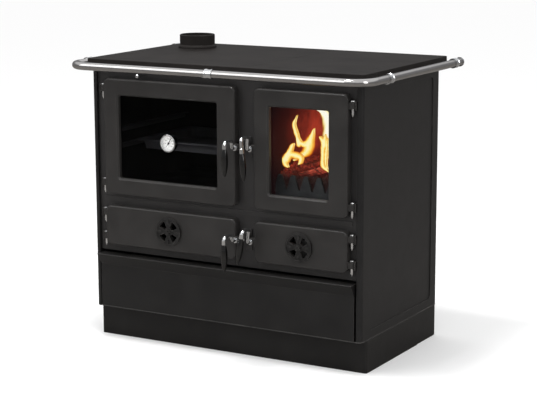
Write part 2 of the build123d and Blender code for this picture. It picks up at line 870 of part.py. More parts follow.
def door_lugs(sign, edge, z, inset):
    """Two bored lugs at the door's hinge edge."""
    x = edge + sign * pin_offset
    lugs = []
    for low in hinge_levels(z, inset):
        lug_z = (low, low + lug_height)
        web = slab(sorted((edge - sign * 9, x)), (pin_y - lug_radius, pin_y + lug_radius), lug_z)
        lugs.append(web + rod_z(x, pin_y, lug_radius, lug_z))
    return lugs


def pin_bores(sign, edge, z, inset):
    """The holes for the pins, and the room that the pin tails need below each lug."""
    x = edge + sign * pin_offset
    return [rod_z(x, pin_y, pin_radius + running_gap, (low - 1, low + lug_height + 1))
            for low in hinge_levels(z, inset)]


# ---------------------------------------------------------------- doors
def handle_pivot(sign):
    """Where a door's spindle stands: left doors close to the right, right doors to the left."""
    if sign < 0:
        return oven_door_x[1] + left_pivot_offset
    return fire_door_x[0] - right_pivot_offset


def door_blank(sign, x, z, inset):
    """The cast slab of a door with its rounded front edge, hinge lugs and spindle ear."""
    body = front_prism(front_outline(x, z, door_corner), (door_face, door_back))
    front_edges = body.faces().sort_by(Axis.Y)[0].edges()
    body = fillet(front_edges, door_edge_round)
    hinge_edge = x[0] if sign < 0 else x[1]
    for lug in door_lugs(sign, hinge_edge, z, inset):
        body = body + lug
    pivot = handle_pivot(sign)
    mid = middle(z)
    ear_y = (door_face, door_face + ear_thickness)
    ear_root = x[0] if sign > 0 else x[1]
    ear_x = sorted((pivot, ear_root + sign * (door_edge_round + 4)))
    body = body + rod_y(pivot, mid, ear_radius, ear_y) + slab(ear_x, ear_y, (mid - ear_radius, mid + ear_radius))
    room_x = sorted((pivot + sign * (spindle_radius + 1.6), pivot - sign * 30))
    room = slab(room_x, (ear_y[1], door_back + 1), (mid - 14, mid + 14))
    body = body - room - rod_y(pivot, mid, spindle_radius + running_gap, grown(ear_y, 2))
    for bore in pin_bores(sign, hinge_edge, z, inset):
        body = body - bore
    return body


def seal_ring(x, z, half_width, y):
    """A rounded frame-shaped band round the back of a door."""
    outer = front_outline(grown(x, -seal_inset + half_width), grown(z, -seal_inset + half_width), door_corner - 5)
    inner = front_outline(grown(x, -seal_inset - half_width), grown(z, -seal_inset - half_width), door_corner - 9)
    return front_prism(outer - inner, y)


def window_spans(x, z, margins):
    left, right, below = margins
    return (x[0] + left, x[1] - right), (z[0] + below, z[1] - window_top_margin)


def glazed_door(sign, x, z, margins):
    """A door with a bevelled window, a glass seat, a clip ledge and a seal groove behind."""
    body = door_blank(sign, x, z, main_lug_inset)
    wx, wz = window_spans(x, z, margins)
    body = body - front_prism(front_outline(wx, wz, window_corner), (door_face - 1, door_back + 1))
    bevel = loft([
        (Plane.XZ.offset(-door_face + 0.01) * front_outline(
            grown(wx, window_bevel), grown(wz, window_bevel), window_corner + window_bevel)).face(),
        (Plane.XZ.offset(-door_face - window_bevel) * front_outline(wx, wz, window_corner)).face(),
    ])
    body = body - bevel
    seat_x, seat_z = grown(wx, glass_lap + 1), grown(wz, glass_lap + 1)
    body = body - front_prism(front_outline(seat_x, seat_z, 4), (glass_front, door_back + 1))
    ledge_x, ledge_z_span = grown(seat_x, clip_ledge), grown(seat_z, clip_ledge)
    body = body - front_prism(front_outline(ledge_x, ledge_z_span, 6), (glass_back, door_back + 1))
    return body - seal_ring(x, z, seal_width / 2, (door_back - 5, door_back + 1))


def door_glass(x, z, margins):
    wx, wz = window_spans(x, z, margins)
    return front_prism(front_outline(grown(wx, glass_lap), grown(wz, glass_lap), 3), (glass_front, glass_back))


def door_seal(x, z):
    """A braided glass-fibre seal, pressed into the groove."""
    return seal_ring(x, z, seal_width / 2 - 0.2, (door_back - 5, frame_face - seat_gap))


def glass_clips(x, z, margins):
    """Four steel clips: two above and two below, half on the ledge and half on the glass."""
    wx, wz = window_spans(x, z, margins)
    seat = grown(wz, glass_lap + 1)
    clips = []
    for level in seat:
        for share in (-0.3, 0.3):
            centre = middle(wx) + share * length(wx)
            outline = front_outline((centre - clip_size[1] / 2, centre + clip_size[1] / 2),
                                    (level - clip_size[0] / 2, level + clip_size[0] / 2), 3)
            clips.append(front_prism(outline, (glass_back, glass_back + clip_size[2])))
    return group(clips)


# ---------------------------------------------------------------- lower doors and their air discs
soot_disc_x = middle(oven_door_x) + disc_shift
ash_disc_x = middle(fire_door_x) + disc_shift


def air_sector(inner, outer, angle, centre_angle):
    """A ring sector about the origin, as a sketch."""
    low = radians(centre_angle - angle / 2)
    high = radians(centre_angle + angle / 2)
    mid = radians(centre_angle)
    start = (inner * cos(low), inner * sin(low))
    outer_start = (outer * cos(low), outer * sin(low))
    outer_end = (outer * cos(high), outer * sin(high))
    end = (inner * cos(high), inner * sin(high))
    outline = [
        Line(start, outer_start),
        ThreePointArc(outer_start, (outer * cos(mid), outer * sin(mid)), outer_end),
        Line(outer_end, end),
        ThreePointArc(end, (inner * cos(mid), inner * sin(mid)), start),
    ]
    return make_face(outline)


def air_slots(x, z, y):
    """Four openings on the diagonals."""
    slots = []
    for quarter in range(4):
        sector = air_sector(air_slot_inner, air_slot_outer, air_slot_angle, 45 + 90 * quarter)
        slots.append(front_prism(Pos(x, z) * sector, y))
    return slots


def plain_door(sign, x, z, disc_x):
    """A small cast door, dished behind, with air openings under its disc."""
    body = door_blank(sign, x, z, low_lug_inset)
    pocket = front_outline(grown(x, -low_door_rim), grown(z, -low_door_rim), 6)
    plate_back = door_face + low_door_plate
    body = body - front_prism(pocket, (plate_back, door_back + 1))
    cz = middle(z)
    for slot in air_slots(disc_x, cz, (door_face - 1, plate_back + 1)):
        body = body - slot
    return body - rod_y(disc_x, cz, pin_radius + running_gap, (door_face - 1, plate_back + 1))


def air_disc(cx, cz):
    """A turning register: raised rim, four ribs, a hub knob and a headed stud through the door."""
    back = door_face - seat_gap
    face = back - disc_thickness
    rim = 2.2
    disc = rod_y(cx, cz, disc_radius, (face, back))
    edge = rod_y(cx, cz, disc_radius, (face - rim, face)) - rod_y(cx, cz, disc_radius - 5, (face - rim - 1, face))
    disc = disc + edge
    for slot in air_slots(cx, cz, (face - 1, back + 1)):
        disc = disc - slot
    for quarter in range(4):
        rib = Pos(cx, cz) * Rot(0, 0, 90 * quarter) * Pos(air_slot_outer - 3, 0) * RectangleRounded(13, 5, 2.4)
        disc = disc + front_prism(rib, (face - 2.4, face))
    knob = rod_y(cx, cz, 8, (face - 5, face)) + rod_y(cx, cz, 5, (face - 9, face - 5))
    plate_back = door_face + low_door_plate
    stud = rod_y(cx, cz, pin_radius, (back, plate_back + seat_gap + 3))
    nut = rod_y(cx, cz, 8, (plate_back + seat_gap, plate_back + seat_gap + 3))
    return union([disc, knob, stud, nut])


# ---------------------------------------------------------------- handles, tongues and keepers
def leaning(shape, sign, z, lean):
    """The shape turned about its door's spindle."""
    pivot = Pos(handle_pivot(sign), 0, z)
    return pivot * Rot(0, lean, 0) * pivot.inverse() * shape


def handle_neck(sign, z, hang):
    """A chromed casting: spindle, collar, swan neck and ferrule, with the latch tongue behind."""
    lean, aside, top, grip_top = hang
    x = handle_pivot(sign)
    front = door_face - seat_gap
    tongue_y = (door_face + ear_thickness + 2, door_face + ear_thickness + 2 + tongue_thickness)
    spindle = rod_y(x, z, spindle_radius, (front - 1, tongue_y[1]))
    collar = rod_y(x, z, ear_radius - 1.5, (front - 5, front))
    hang_x = x + aside
    hang_y = door_face - neck_reach
    crown = z + top - neck_radius
    path = FilletPolyline(
        (x, front - 3, z),
        (x, front - 17, z),
        (hang_x, front - 21, crown),
        (hang_x, hang_y, crown),
        (hang_x, hang_y, z + grip_top + 2),
        radius=[6.0, 8.0, 9.0],
    )
    neck = sweep(Plane(origin=path @ 0, z_dir=path % 0) * Circle(neck_radius), path=path)
    ferrule = rod_z(hang_x, hang_y, neck_radius + 2.0, (z + grip_top, z + grip_top + ferrule_length))
    ferrule = chamfer(ferrule.edges().filter_by(GeomType.CIRCLE), 1.0)
    hub = rod_y(x, z, spindle_radius + 1, tongue_y)
    tongue = slab(sorted((x, x - sign * tongue_length)), tongue_y, (z - tongue_height / 2, z + tongue_height / 2))
    arm = leaning(neck + ferrule, sign, z, lean)
    return union([spindle, collar, arm, hub, tongue])


def handle_grip(sign, z, hang):
    """A turned leaf-shaped black grip, fullest near its middle."""
    lean, aside, _, grip_top = hang
    top_radius = 0.62 * grip_width / 2
    tip_radius = 0.34 * grip_width / 2
    flank = ThreePointArc((top_radius, 0), (grip_width / 2, -0.47 * grip_length), (tip_radius, -grip_length + 2))
    outline = make_face([
        Line((0, 0), (top_radius, 0)),
        flank,
        Line((tip_radius, -grip_length + 2), (tip_radius - 2, -grip_length)),
        Line((tip_radius - 2, -grip_length), (0, -grip_length)),
        Line((0, -grip_length), (0, 0)),
    ])
    grip = revolve(Plane.XZ * outline, Axis.Z)
    hang_point = Pos(handle_pivot(sign) + aside, door_face - neck_reach, z + grip_top)
    return leaning(hang_point * grip, sign, z, lean)


def latch_keepers():
    """Plates on the middle stile; a hooked lip stands over each tongue's path when it is raised."""
    keepers = []
    for sign in (-1, 1):
        pivot = handle_pivot(sign)
        for z in (main_mid_z, low_mid_z):
            tongue_end = pivot - sign * tongue_length
            tongue_front = door_face + ear_thickness + 2
            web = sorted((tongue_end - sign, tongue_end - sign * (1 + keeper_hook)))
            lip = sorted((tongue_end + sign * 9.5, tongue_end - sign * (1 + keeper_hook)))
            plate = sorted((tongue_end + sign * 11.0, tongue_end + sign * (11.0 - keeper_width)))
            hook_z = (z + tongue_height / 2 + 0.6, z + tongue_height / 2 + 16)
            base = front_prism(front_outline(plate, (z - keeper_height / 2, z + keeper_height / 2), 3),
                               (frame_face - keeper_plate, frame_face))
            wall = slab(web, (tongue_front - 0.5 - keeper_hook, frame_face), hook_z)
            cover = slab(lip, (tongue_front - 0.5 - keeper_hook, tongue_front - 0.5), hook_z)
            keepers.append(base + wall + cover)
    return group(keepers)


# ---------------------------------------------------------------- oven thermometer
therm_x = middle(oven_door_x)
therm_z = main_mid_z - dial_drop
case_y = (glass_front - dial_case_depth, glass_front)


def thermometer_case():
    """A turned cup with a rolled bezel, seated on the glass."""
    r = dial_case_radius
    profile = Polygon((0, 0), (r - 3, 0), (r - 1, 2), (r - 1, dial_case_depth - 5), (r, dial_case_depth - 4),
                      (r, dial_case_depth - 1), (r - 1.2, dial_case_depth), (r - 3.4, dial_case_depth),
                      (r - 3.4, dial_case_depth - 2), (r - 2.6, dial_case_depth - 3), (r - 2.6, dial_case_depth - 10),
                      (0, dial_case_depth - 10), align=None)
    cup = revolve(Plane.XZ * profile, Axis.Z)
    return Pos(therm_x, glass_front, therm_z) * Rot(90, 0, 0) * cup


def thermometer_dial():
    y = (case_y[0] + 9, case_y[0] + 10)
    return rod_y(therm_x, therm_z, dial_case_radius - 2.6 - running_gap, y) - rod_y(
        therm_x, therm_z, 1.5, grown(y, 1))


def thermometer_pointer():
    """A tapered hand on a small boss, on a spindle that turns in the dial."""
    y = (case_y[0] + 5.9, case_y[0] + 7.0)
    hand = Polygon((-1.6, -7), (1.6, -7), (0.5, 19), (-0.5, 19), align=None)
    hand = Pos(therm_x, therm_z) * Rot(0, 0, -30) * hand
    boss = rod_y(therm_x, therm_z, 3, (y[0] - 0.7, y[1] + 0.6))
    spindle = rod_y(therm_x, therm_z, 1.5 - running_gap, (y[1], case_y[0] + 9.7))
    return union([front_prism(hand, y), boss, spindle])


def thermometer_lens():
    y = (case_y[0] + 3.1, case_y[0] + 4.4)
    return rod_y(therm_x, therm_z, dial_case_radius - 2.6 - running_gap, y)


# ---------------------------------------------------------------- every node and its maker
nodes = {
    "plinth_front": plinth_front,
    "plinth_rear": plinth_rear,
    "base_plate": base_plate,
    "side_panel_left": lambda: side_panel(-1),
    "side_panel_right": lambda: side_panel(1),
    "back_panel": back_panel,
    "front_frame": front_frame,
    "drawer_deck": drawer_deck,
    "drawer_runners": drawer_runners,
    "drawer_front": drawer_front,
    "drawer_box": drawer_box,
    "oven_box": oven_box,
    "oven_runners": oven_runners,
    "oven_tray": oven_tray,
    "soot_box": soot_box,
    "firebox_shell": firebox_shell,
    "fire_bricks": fire_bricks,
    "fire_grate": fire_grate,
    "fire_fence": fire_fence,
    "ash_pan": ash_pan,
    "flue_box": flue_box,
    "flue_collar": flue_collar,
    "damper_rod": damper_rod,
    "damper_plate": damper_plate,
    "hob_frame": hob_frame,
    "hob_plate_left": hob_plate_left,
    "hob_plate_right": hob_plate_right,
    "rail_front_left": lambda: rail_corner_tube(-1),
    "rail_front_right": lambda: rail_corner_tube(1),
    "rail_side_left": lambda: rail_side_tube(-1),
    "rail_side_right": lambda: rail_side_tube(1),
    "rail_brackets": rail_brackets,
    "rail_ends": rail_ends,
    "hinge_brackets": hinge_brackets,
    "hinge_pins": hinge_pins,
    "latch_keepers": latch_keepers,
    "oven_door": lambda: glazed_door(-1, oven_door_x, main_door_z, oven_window_margins),
    "oven_glass": lambda: door_glass(oven_door_x, main_door_z, oven_window_margins),
    "oven_door_seal": lambda: door_seal(oven_door_x, main_door_z),
    "oven_glass_clips": lambda: glass_clips(oven_door_x, main_door_z, oven_window_margins),
    "thermometer_case": thermometer_case,
    "thermometer_dial": thermometer_dial,
    "thermometer_pointer": thermometer_pointer,
    "thermometer_lens": thermometer_lens,
    "fire_door": lambda: glazed_door(1, fire_door_x, main_door_z, fire_window_margins),
    "fire_glass": lambda: door_glass(fire_door_x, main_door_z, fire_window_margins),
    "fire_door_seal": lambda: door_seal(fire_door_x, main_door_z),
    "fire_glass_clips": lambda: glass_clips(fire_door_x, main_door_z, fire_window_margins),
    "soot_door": lambda: plain_door(-1, oven_door_x, low_door_z, soot_disc_x),
    "soot_air_disc": lambda: air_disc(soot_disc_x, low_mid_z),
    "ash_door": lambda: plain_door(1, fire_door_x, low_door_z, ash_disc_x),
    "ash_air_disc": lambda: air_disc(ash_disc_x, low_mid_z),
    "oven_handle_neck": lambda: handle_neck(-1, main_mid_z, oven_hang),
    "oven_handle_grip": lambda: handle_grip(-1, main_mid_z, oven_hang),
    "fire_handle_neck": lambda: handle_neck(1, main_mid_z, fire_hang),
    "fire_handle_grip": lambda: handle_grip(1, main_mid_z, fire_hang),
    "soot_handle_neck": lambda: handle_neck(-1, low_mid_z, soot_hang),
    "soot_handle_grip": lambda: handle_grip(-1, low_mid_z, soot_hang),
    "ash_handle_neck": lambda: handle_neck(1, low_mid_z, ash_hang),
    "ash_handle_grip": lambda: handle_grip(1, low_mid_z, ash_hang),
}


def main():
    os.makedirs("parts", exist_ok=True)
    for name, make in nodes.items():
        export_step(make(), "parts/" + name + ".step")


if __name__ == "__main__":
    main()
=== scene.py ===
# %% [markdown]
# # A wood cookstove, dressed for its picture
# The solids of the cooker come ready made, each in its own node, in metres, with the floor at zero.
# This lesson gives them their paints and metals, lights the fire behind the right-hand glass, prints the
# oven's dial, and sets up the light and the camera.  Nothing here moves or reshapes a solid: a finish is
# assigned to it, or a new piece is laid against it.

# %% Load the frame
import json
import math

import bpy
import numpy as np
from mathutils import Matrix, Vector


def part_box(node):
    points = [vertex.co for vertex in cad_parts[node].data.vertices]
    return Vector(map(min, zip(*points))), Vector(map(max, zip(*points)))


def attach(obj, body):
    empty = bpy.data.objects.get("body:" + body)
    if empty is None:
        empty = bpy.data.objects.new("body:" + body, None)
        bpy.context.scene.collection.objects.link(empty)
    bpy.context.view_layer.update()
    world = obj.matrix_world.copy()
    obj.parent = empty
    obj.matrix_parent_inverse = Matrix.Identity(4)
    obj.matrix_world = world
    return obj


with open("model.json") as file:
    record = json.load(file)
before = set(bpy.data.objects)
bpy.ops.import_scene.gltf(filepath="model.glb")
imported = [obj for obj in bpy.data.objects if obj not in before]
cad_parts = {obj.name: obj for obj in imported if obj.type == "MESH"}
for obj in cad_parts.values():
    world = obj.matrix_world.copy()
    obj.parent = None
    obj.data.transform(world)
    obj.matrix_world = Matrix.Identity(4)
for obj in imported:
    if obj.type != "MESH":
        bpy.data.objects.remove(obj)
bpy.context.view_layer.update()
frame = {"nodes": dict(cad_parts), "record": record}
nodes = frame["nodes"]


# %% [markdown]
# ## A workbench for finishes
# A finish on a real cooker is never one number: sprayed paint has a fine pebbled skin and cloudy patches
# where it went on thicker, a handled edge is rubbed, and a level surface gathers dust.  Each of these is
# one small recipe with knobs.  In Blender a recipe is a node group, built once and placed in each material
# that needs it; the shader itself stays in the material, where its plain numbers can be read.

# %% Helpers for node groups and materials
def shader_group(name, inputs, outputs):
    """A group with named sockets: each input is (name, kind, default) and each output (name, kind)."""
    group = bpy.data.node_groups.new(name, "ShaderNodeTree")
    for title, kind, value in inputs:
        socket = group.interface.new_socket(name=title, in_out="INPUT", socket_type="NodeSocket" + kind)
        socket.default_value = value
    for title, kind in outputs:
        group.interface.new_socket(name=title, in_out="OUTPUT", socket_type="NodeSocket" + kind)
    return group


def add(tree, kind, links=None, **settings):
    """A new node with its settings, and links from other nodes' sockets into its named inputs."""
    node = tree.nodes.new("ShaderNode" + kind)
    for key, value in settings.items():
        setattr(node, key, value)
    for socket, source in (links or {}).items():
        if hasattr(source, "is_output"):
            tree.links.new(source, node.inputs[socket])
        else:
            node.inputs[socket].default_value = source
    return node


def blend_colours(tree, factor, first, second):
    """A colour mix: the factor's socket chooses between two colours or colour sockets."""
    mix = add(tree, "Mix", data_type="RGBA")
    for socket, source in ((mix.inputs[0], factor), (mix.inputs[6], first), (mix.inputs[7], second)):
        if hasattr(source, "is_output"):
            tree.links.new(source, socket)
        else:
            socket.default_value = source if isinstance(source, float) else (*source, 1.0)
    return mix.outputs[2]


print("helpers: shader_group, add, blend_colours")


# %% Helpers for sums, and a fresh material
def remap(tree, value, low=0.0, high=1.0, to_low=0.0, to_high=1.0, smooth=False):
    """low..high becomes to_low..to_high, clamped, in a straight line or with soft ends."""
    limits = {"Value": value, "From Min": low, "From Max": high, "To Min": to_low, "To Max": to_high}
    course = "SMOOTHSTEP" if smooth else "LINEAR"
    return add(tree, "MapRange", limits, interpolation_type=course).outputs["Result"]


def multiply(tree, first, second):
    """first x second."""
    return add(tree, "Math", {0: first, 1: second}, operation="MULTIPLY").outputs[0]


def scale_and_shift(tree, value, factor, shift):
    """value x factor + shift."""
    return add(tree, "Math", {0: value, 1: factor, 2: shift}, operation="MULTIPLY_ADD").outputs[0]


def new_material(name):
    """A material with its Principled shader, ready for the finish to be plugged in."""
    material = bpy.data.materials.new(name)
    material.use_nodes = True
    tree = material.node_tree
    return material, tree, tree.nodes["Principled BSDF"]


print("helpers: remap, multiply, scale_and_shift, new_material")


# %% [markdown]
# ## Sprayed skin: grain and clouds
# Heat-proof stove paint dries to a fine pebble about half a millimetre across, and cast iron under it adds
# a coarser unevenness.  Two noises in the object's own coordinates give both, at sizes stated in
# millimetres, so the pebble stays the same on a small disc and on the side of the casing.

# %% The sprayed skin group
def make_sprayed_skin():
    """Height = fine noise at the grain size; Clouds = soft noise at the patch size, stretched to 0..1."""
    group = shader_group(
        "sprayed skin",
        [("Grain mm", "Float", 0.6), ("Patch mm", "Float", 60.0)],
        [("Height", "Float"), ("Clouds", "Float")])
    inlet = group.nodes.new("NodeGroupInput")
    outlet = group.nodes.new("NodeGroupOutput")
    place = add(group, "TexCoord").outputs["Object"]
    fine = add(group, "Math", {0: 1000.0, 1: inlet.outputs["Grain mm"]}, operation="DIVIDE").outputs[0]
    wide = add(group, "Math", {0: 1000.0, 1: inlet.outputs["Patch mm"]}, operation="DIVIDE").outputs[0]
    pebble = add(group, "TexNoise", {"Vector": place, "Scale": fine, "Detail": 2.0, "Roughness": 0.55})
    cloud = add(group, "TexNoise", {"Vector": place, "Scale": wide, "Detail": 4.0, "Roughness": 0.6})
    spread = remap(group, cloud.outputs["Fac"], 0.32, 0.68)
    group.links.new(pebble.outputs["Fac"], outlet.inputs["Height"])
    group.links.new(spread, outlet.inputs["Clouds"])
    return group


sprayed_skin = make_sprayed_skin()
print("group:", sprayed_skin.name)


# %% [markdown]
# ## Rubbed edges and painted edge highlights
# Paint is thinnest over an arris and hands polish it there, and a rounded edge catches a highlight: the
# lighter edge colour paints both the wear and that highlight.  The Bevel node answers "which way would the
# surface face if its edges were rounded?", and where that answer leaves the true normal there is an edge.

# %% The group for rubbed edges and painted edge highlights
def make_worn_and_highlit_edges():
    """Mask of rubbed wear and painted highlight = (1 - rounded normal . true normal) stretched, broken up by
    noise so that it is uneven.
    """
    group = shader_group(
        "worn and highlit edges",
        [("Width mm", "Float", 1.5), ("Amount", "Float", 1.0)],
        [("Mask", "Float")])
    inlet = group.nodes.new("NodeGroupInput")
    outlet = group.nodes.new("NodeGroupOutput")
    radius = multiply(group, inlet.outputs["Width mm"], 0.001)
    rounded = add(group, "Bevel", {"Radius": radius}, samples=4).outputs["Normal"]
    true = add(group, "NewGeometry").outputs["Normal"]
    facing = add(group, "VectorMath", {0: rounded, 1: true}, operation="DOT_PRODUCT").outputs["Value"]
    edge = remap(group, facing, 0.995, 0.8)
    place = add(group, "TexCoord").outputs["Object"]
    patchy = add(group, "TexNoise", {"Vector": place, "Scale": 55.0, "Detail": 3.0}).outputs["Fac"]
    uneven = remap(group, patchy, 0.3, 0.65)
    scaled = multiply(group, multiply(group, edge, uneven), inlet.outputs["Amount"])
    group.links.new(scaled, outlet.inputs["Mask"])
    return group


worn_and_highlit_edges = make_worn_and_highlit_edges()
print("group:", worn_and_highlit_edges.name)


# %% [markdown]
# ## Drawn lines
# Polished tube and rolled sheet carry fine lines along the direction they were drawn in.  Noise whose
# coordinates are squeezed along one axis makes long threads; the knob "Along" is a scale for X, Y and Z,
# small in the direction in which the lines run.

# %% The drawn lines group
def make_drawn_lines():
    """Lines = noise of the coordinates times Along, so a small component makes threads on that axis."""
    group = shader_group("drawn lines", [("Along", "Vector", (30.0, 900.0, 900.0))], [("Lines", "Float")])
    inlet = group.nodes.new("NodeGroupInput")
    outlet = group.nodes.new("NodeGroupOutput")
    place = add(group, "TexCoord").outputs["Object"]
    squeezed = add(group, "VectorMath", {0: place, 1: inlet.outputs["Along"]}, operation="MULTIPLY")
    knobs = {"Vector": squeezed.outputs[0], "Scale": 1.0, "Detail": 3.0, "Roughness": 0.6}
    threads = add(group, "TexNoise", knobs)
    group.links.new(threads.outputs["Fac"], outlet.inputs["Lines"])
    return group


drawn_lines = make_drawn_lines()
print("group:", drawn_lines.name)


# %% [markdown]
# ## Dust
# Dust settles on whatever faces up.  It could be a second coat over everything, but as a mask it lets each
# material decide what colour it brings.  Soot, inside the oven and the fire, follows the clouds of the
# sprayed skin instead, since it doesn't care which way a wall faces.

# %% The settled dust group
def make_settled_dust():
    """Mask = how far the surface faces up, from a slope of 60 degrees to level, times noise and amount."""
    group = shader_group("settled dust", [("Amount", "Float", 0.3)], [("Mask", "Float")])
    inlet = group.nodes.new("NodeGroupInput")
    outlet = group.nodes.new("NodeGroupOutput")
    normal = add(group, "NewGeometry").outputs["Normal"]
    up = add(group, "SeparateXYZ", {0: normal}).outputs["Z"]
    lifted = remap(group, up, 0.5, 1.0)
    place = add(group, "TexCoord").outputs["Object"]
    drift = add(group, "TexNoise", {"Vector": place, "Scale": 14.0, "Detail": 6.0, "Roughness": 0.7})
    scaled = multiply(group, multiply(group, lifted, drift.outputs["Fac"]), inlet.outputs["Amount"])
    group.links.new(scaled, outlet.inputs["Mask"])
    return group


settled_dust = make_settled_dust()
print("group:", settled_dust.name)


# %% [markdown]
# ## Black paint on iron and on sheet
# The doors and the front are fine castings sprayed with the same black as the folded sheet round them, but
# the casting shows a little coarser.  One function paints both; only its knobs differ.  The base colour is
# almost black with a brown breath in the clouds, and most of what the eye sees is soft reflection.  The
# plinth and the drawer get darker copies of the black, which are painted shade.

# %% Place a recipe, and bump a surface
def use(tree, group, **knobs):
    """The group placed in a material, with its knobs set."""
    node = add(tree, "Group", node_tree=group)
    for name, value in knobs.items():
        node.inputs[name.replace("_", " ")].default_value = value
    return node.outputs


def bump(tree, shader, height, distance, strength=1.0, under=None):
    """A bump of the given height map feeding the shader's normal; distance is in metres."""
    links = {"Height": height, "Distance": distance, "Strength": strength}
    if under is not None:
        links["Normal"] = under
    node = add(tree, "Bump", links)
    tree.links.new(node.outputs["Normal"], shader.inputs["Normal"])
    return node.outputs["Normal"]


print("helpers: use, bump")


# %% Paint the black finishes
def black_paint(name, dark, light, grain, depth, rough, edge_lightening=1.0):
    """Sprayed black: dark and light are the two cloud colours, grain in mm, depth the bump in metres."""
    material, tree, shader = new_material(name)
    skin = use(tree, sprayed_skin, Grain_mm=grain, Patch_mm=90.0)
    colour = blend_colours(tree, skin["Clouds"], dark, light)
    edge_wear_and_highlight = use(tree, worn_and_highlit_edges, Width_mm=1.6, Amount=edge_lightening)["Mask"]
    # lighter edges: rubbed paint, and also a painted highlight along rounded edges
    colour = blend_colours(tree, edge_wear_and_highlight, colour, (0.085, 0.08, 0.075))
    dusty = use(tree, settled_dust, Amount=0.25)["Mask"]
    colour = blend_colours(tree, dusty, colour, (0.11, 0.105, 0.1))
    tree.links.new(colour, shader.inputs["Base Color"])
    spread = remap(tree, skin["Clouds"], to_low=rough - 0.04, to_high=rough + 0.06)
    tree.links.new(spread, shader.inputs["Roughness"])
    shader.inputs["Specular IOR Level"].default_value = 0.36
    bump(tree, shader, skin["Height"], depth)
    return material


black_paints = {
    "front_paint": ("front paint", (0.018, 0.0168, 0.0168), (0.024, 0.0222, 0.0216), 0.9, 0.00010, 0.42),
    "door_paint": ("door paint", (0.0165, 0.0153, 0.0147), (0.023, 0.0212, 0.02), 1.0, 0.00012, 0.38),
    "side_paint": ("side paint", (0.007, 0.0066, 0.0067), (0.0102, 0.0095, 0.0093), 0.6, 0.00007, 0.38),
    # the plinth's darker black is painted shade under the casing's overhang
    "plinth_paint": ("plinth paint with painted shade", (0.006, 0.0056, 0.0056), (0.0095, 0.0088, 0.0083), 0.6, 0.00007, 0.36),
}
finish = {slot: black_paint(*knobs) for slot, knobs in black_paints.items()}
# The base plate's edge is a lighter black with twice the edge lightening, a painted highlight along its top
# edge.
finish["edge_steel"] = black_paint(
    "base plate edge", (0.02, 0.02, 0.02), (0.05, 0.049, 0.047), 0.6, 0.00006, 0.34, edge_lightening=2.0)
# The drawer's darker black is painted shade under the ledge above it; the air discs take it too.
drawer_paint_with_shade = black_paint(
    "drawer paint with painted shade", (0.0072, 0.0068, 0.0068), (0.0105, 0.0099, 0.0096), 0.6, 0.00007, 0.36)
print("paints:", list(finish))


# %% [markdown]
# ## The hob
# The cooking plates are ground cast iron, blackened: fine lines run from side to side where the grinder
# went, and heat has left faint clouds.  An image of scratches could do it, but the drawn lines follow the
# plate's own axes, and the seam between the two plates stays free of stretching.  Its shine is kept low,
# because the camera looks along the plate and would see the bright backdrop in it.

# %% Grind the hob
def ground_iron(name, dark, light):
    """Cast iron with grinding lines along X, cloudy from heat."""
    material, tree, shader = new_material(name)
    skin = use(tree, sprayed_skin, Grain_mm=1.2, Patch_mm=140.0)
    lines = use(tree, drawn_lines, Along=(14.0, 420.0, 420.0))["Lines"]
    colour = blend_colours(tree, skin["Clouds"], dark, light)
    edge_wear_and_highlight = use(tree, worn_and_highlit_edges, Width_mm=1.4, Amount=1.2)["Mask"]
    # lighter edges: rubbed iron, and also a painted highlight along rounded edges
    colour = blend_colours(tree, edge_wear_and_highlight, colour, (0.07, 0.066, 0.063))
    tree.links.new(colour, shader.inputs["Base Color"])
    tree.links.new(remap(tree, lines, to_low=0.5, to_high=0.66), shader.inputs["Roughness"])
    shader.inputs["Specular IOR Level"].default_value = 0.07
    under = bump(tree, shader, skin["Height"], 0.00012, 0.6)
    bump(tree, shader, lines, 0.00006, 0.6, under)
    return material


finish["hob_iron"] = ground_iron("hob iron", (0.0110, 0.0096, 0.0090), (0.0165, 0.0145, 0.0134))
print("hob:", finish["hob_iron"].name)


# %% [markdown]
# ## Bright metals
# The rail is polished stainless tube with faint drawn lines; the brackets, bezels and handle necks are
# chromed, smoother and a little bluer; pins, keepers and clips are zinc plated and softer.  One function
# makes them all from a colour, a roughness, how far smears spread it, and the lines' direction and depth.
# The front tubes were drawn along X and the side ones along Y, so the tube's finish is made twice.

# %% Plate and polish
def bright_metal(name, colour, rough, smear, lines_along=(60.0, 60.0, 60.0), line_depth=0.0):
    """Metal whose roughness wanders with soft smears, with optional drawn lines as a bump."""
    material, tree, shader = new_material(name)
    shader.inputs["Metallic"].default_value = 1.0
    skin = use(tree, sprayed_skin, Grain_mm=2.0, Patch_mm=26.0)
    tint = blend_colours(tree, skin["Clouds"], colour, tuple(c * 0.9 for c in colour))
    tree.links.new(tint, shader.inputs["Base Color"])
    lines = use(tree, drawn_lines, Along=lines_along)["Lines"]
    smears = multiply(tree, lines, skin["Clouds"])
    tree.links.new(remap(tree, smears, to_low=rough, to_high=rough + smear), shader.inputs["Roughness"])
    if line_depth:
        bump(tree, shader, lines, line_depth, 0.5)
    return material


tube = ((0.5, 0.488, 0.48), 0.11, 0.14)
line_depth = 0.00002
finish["rail_steel"] = bright_metal("polished tube", *tube, (25.0, 700.0, 700.0), line_depth)
side_rail_steel = bright_metal("polished tube, side", *tube, (700.0, 25.0, 700.0), line_depth)
finish["raw_steel"] = bright_metal(
    "rolled sheet", (0.3, 0.295, 0.29), 0.42, 0.2, (20.0, 600.0, 600.0), line_depth)
finish["chrome"] = bright_metal("chrome plate", (0.8, 0.81, 0.82), 0.07, 0.08)
finish["zinc_steel"] = bright_metal("zinc plate", (0.95, 0.95, 0.95), 0.22, 0.15)
print("metals:", [metal.name for metal in (finish["rail_steel"], side_rail_steel, finish["chrome"])])


# %% [markdown]
# ## Grips, seals and the dark inside
# The grips are turned from black resin with a clear gloss over it.  The door seals are braided glass fibre,
# seen as a small repeating twill; its strands could be modelled, but two crossed waves as a bump give the
# same picture for no geometry.  The oven is enamelled black, and like the firebox it carries soot.

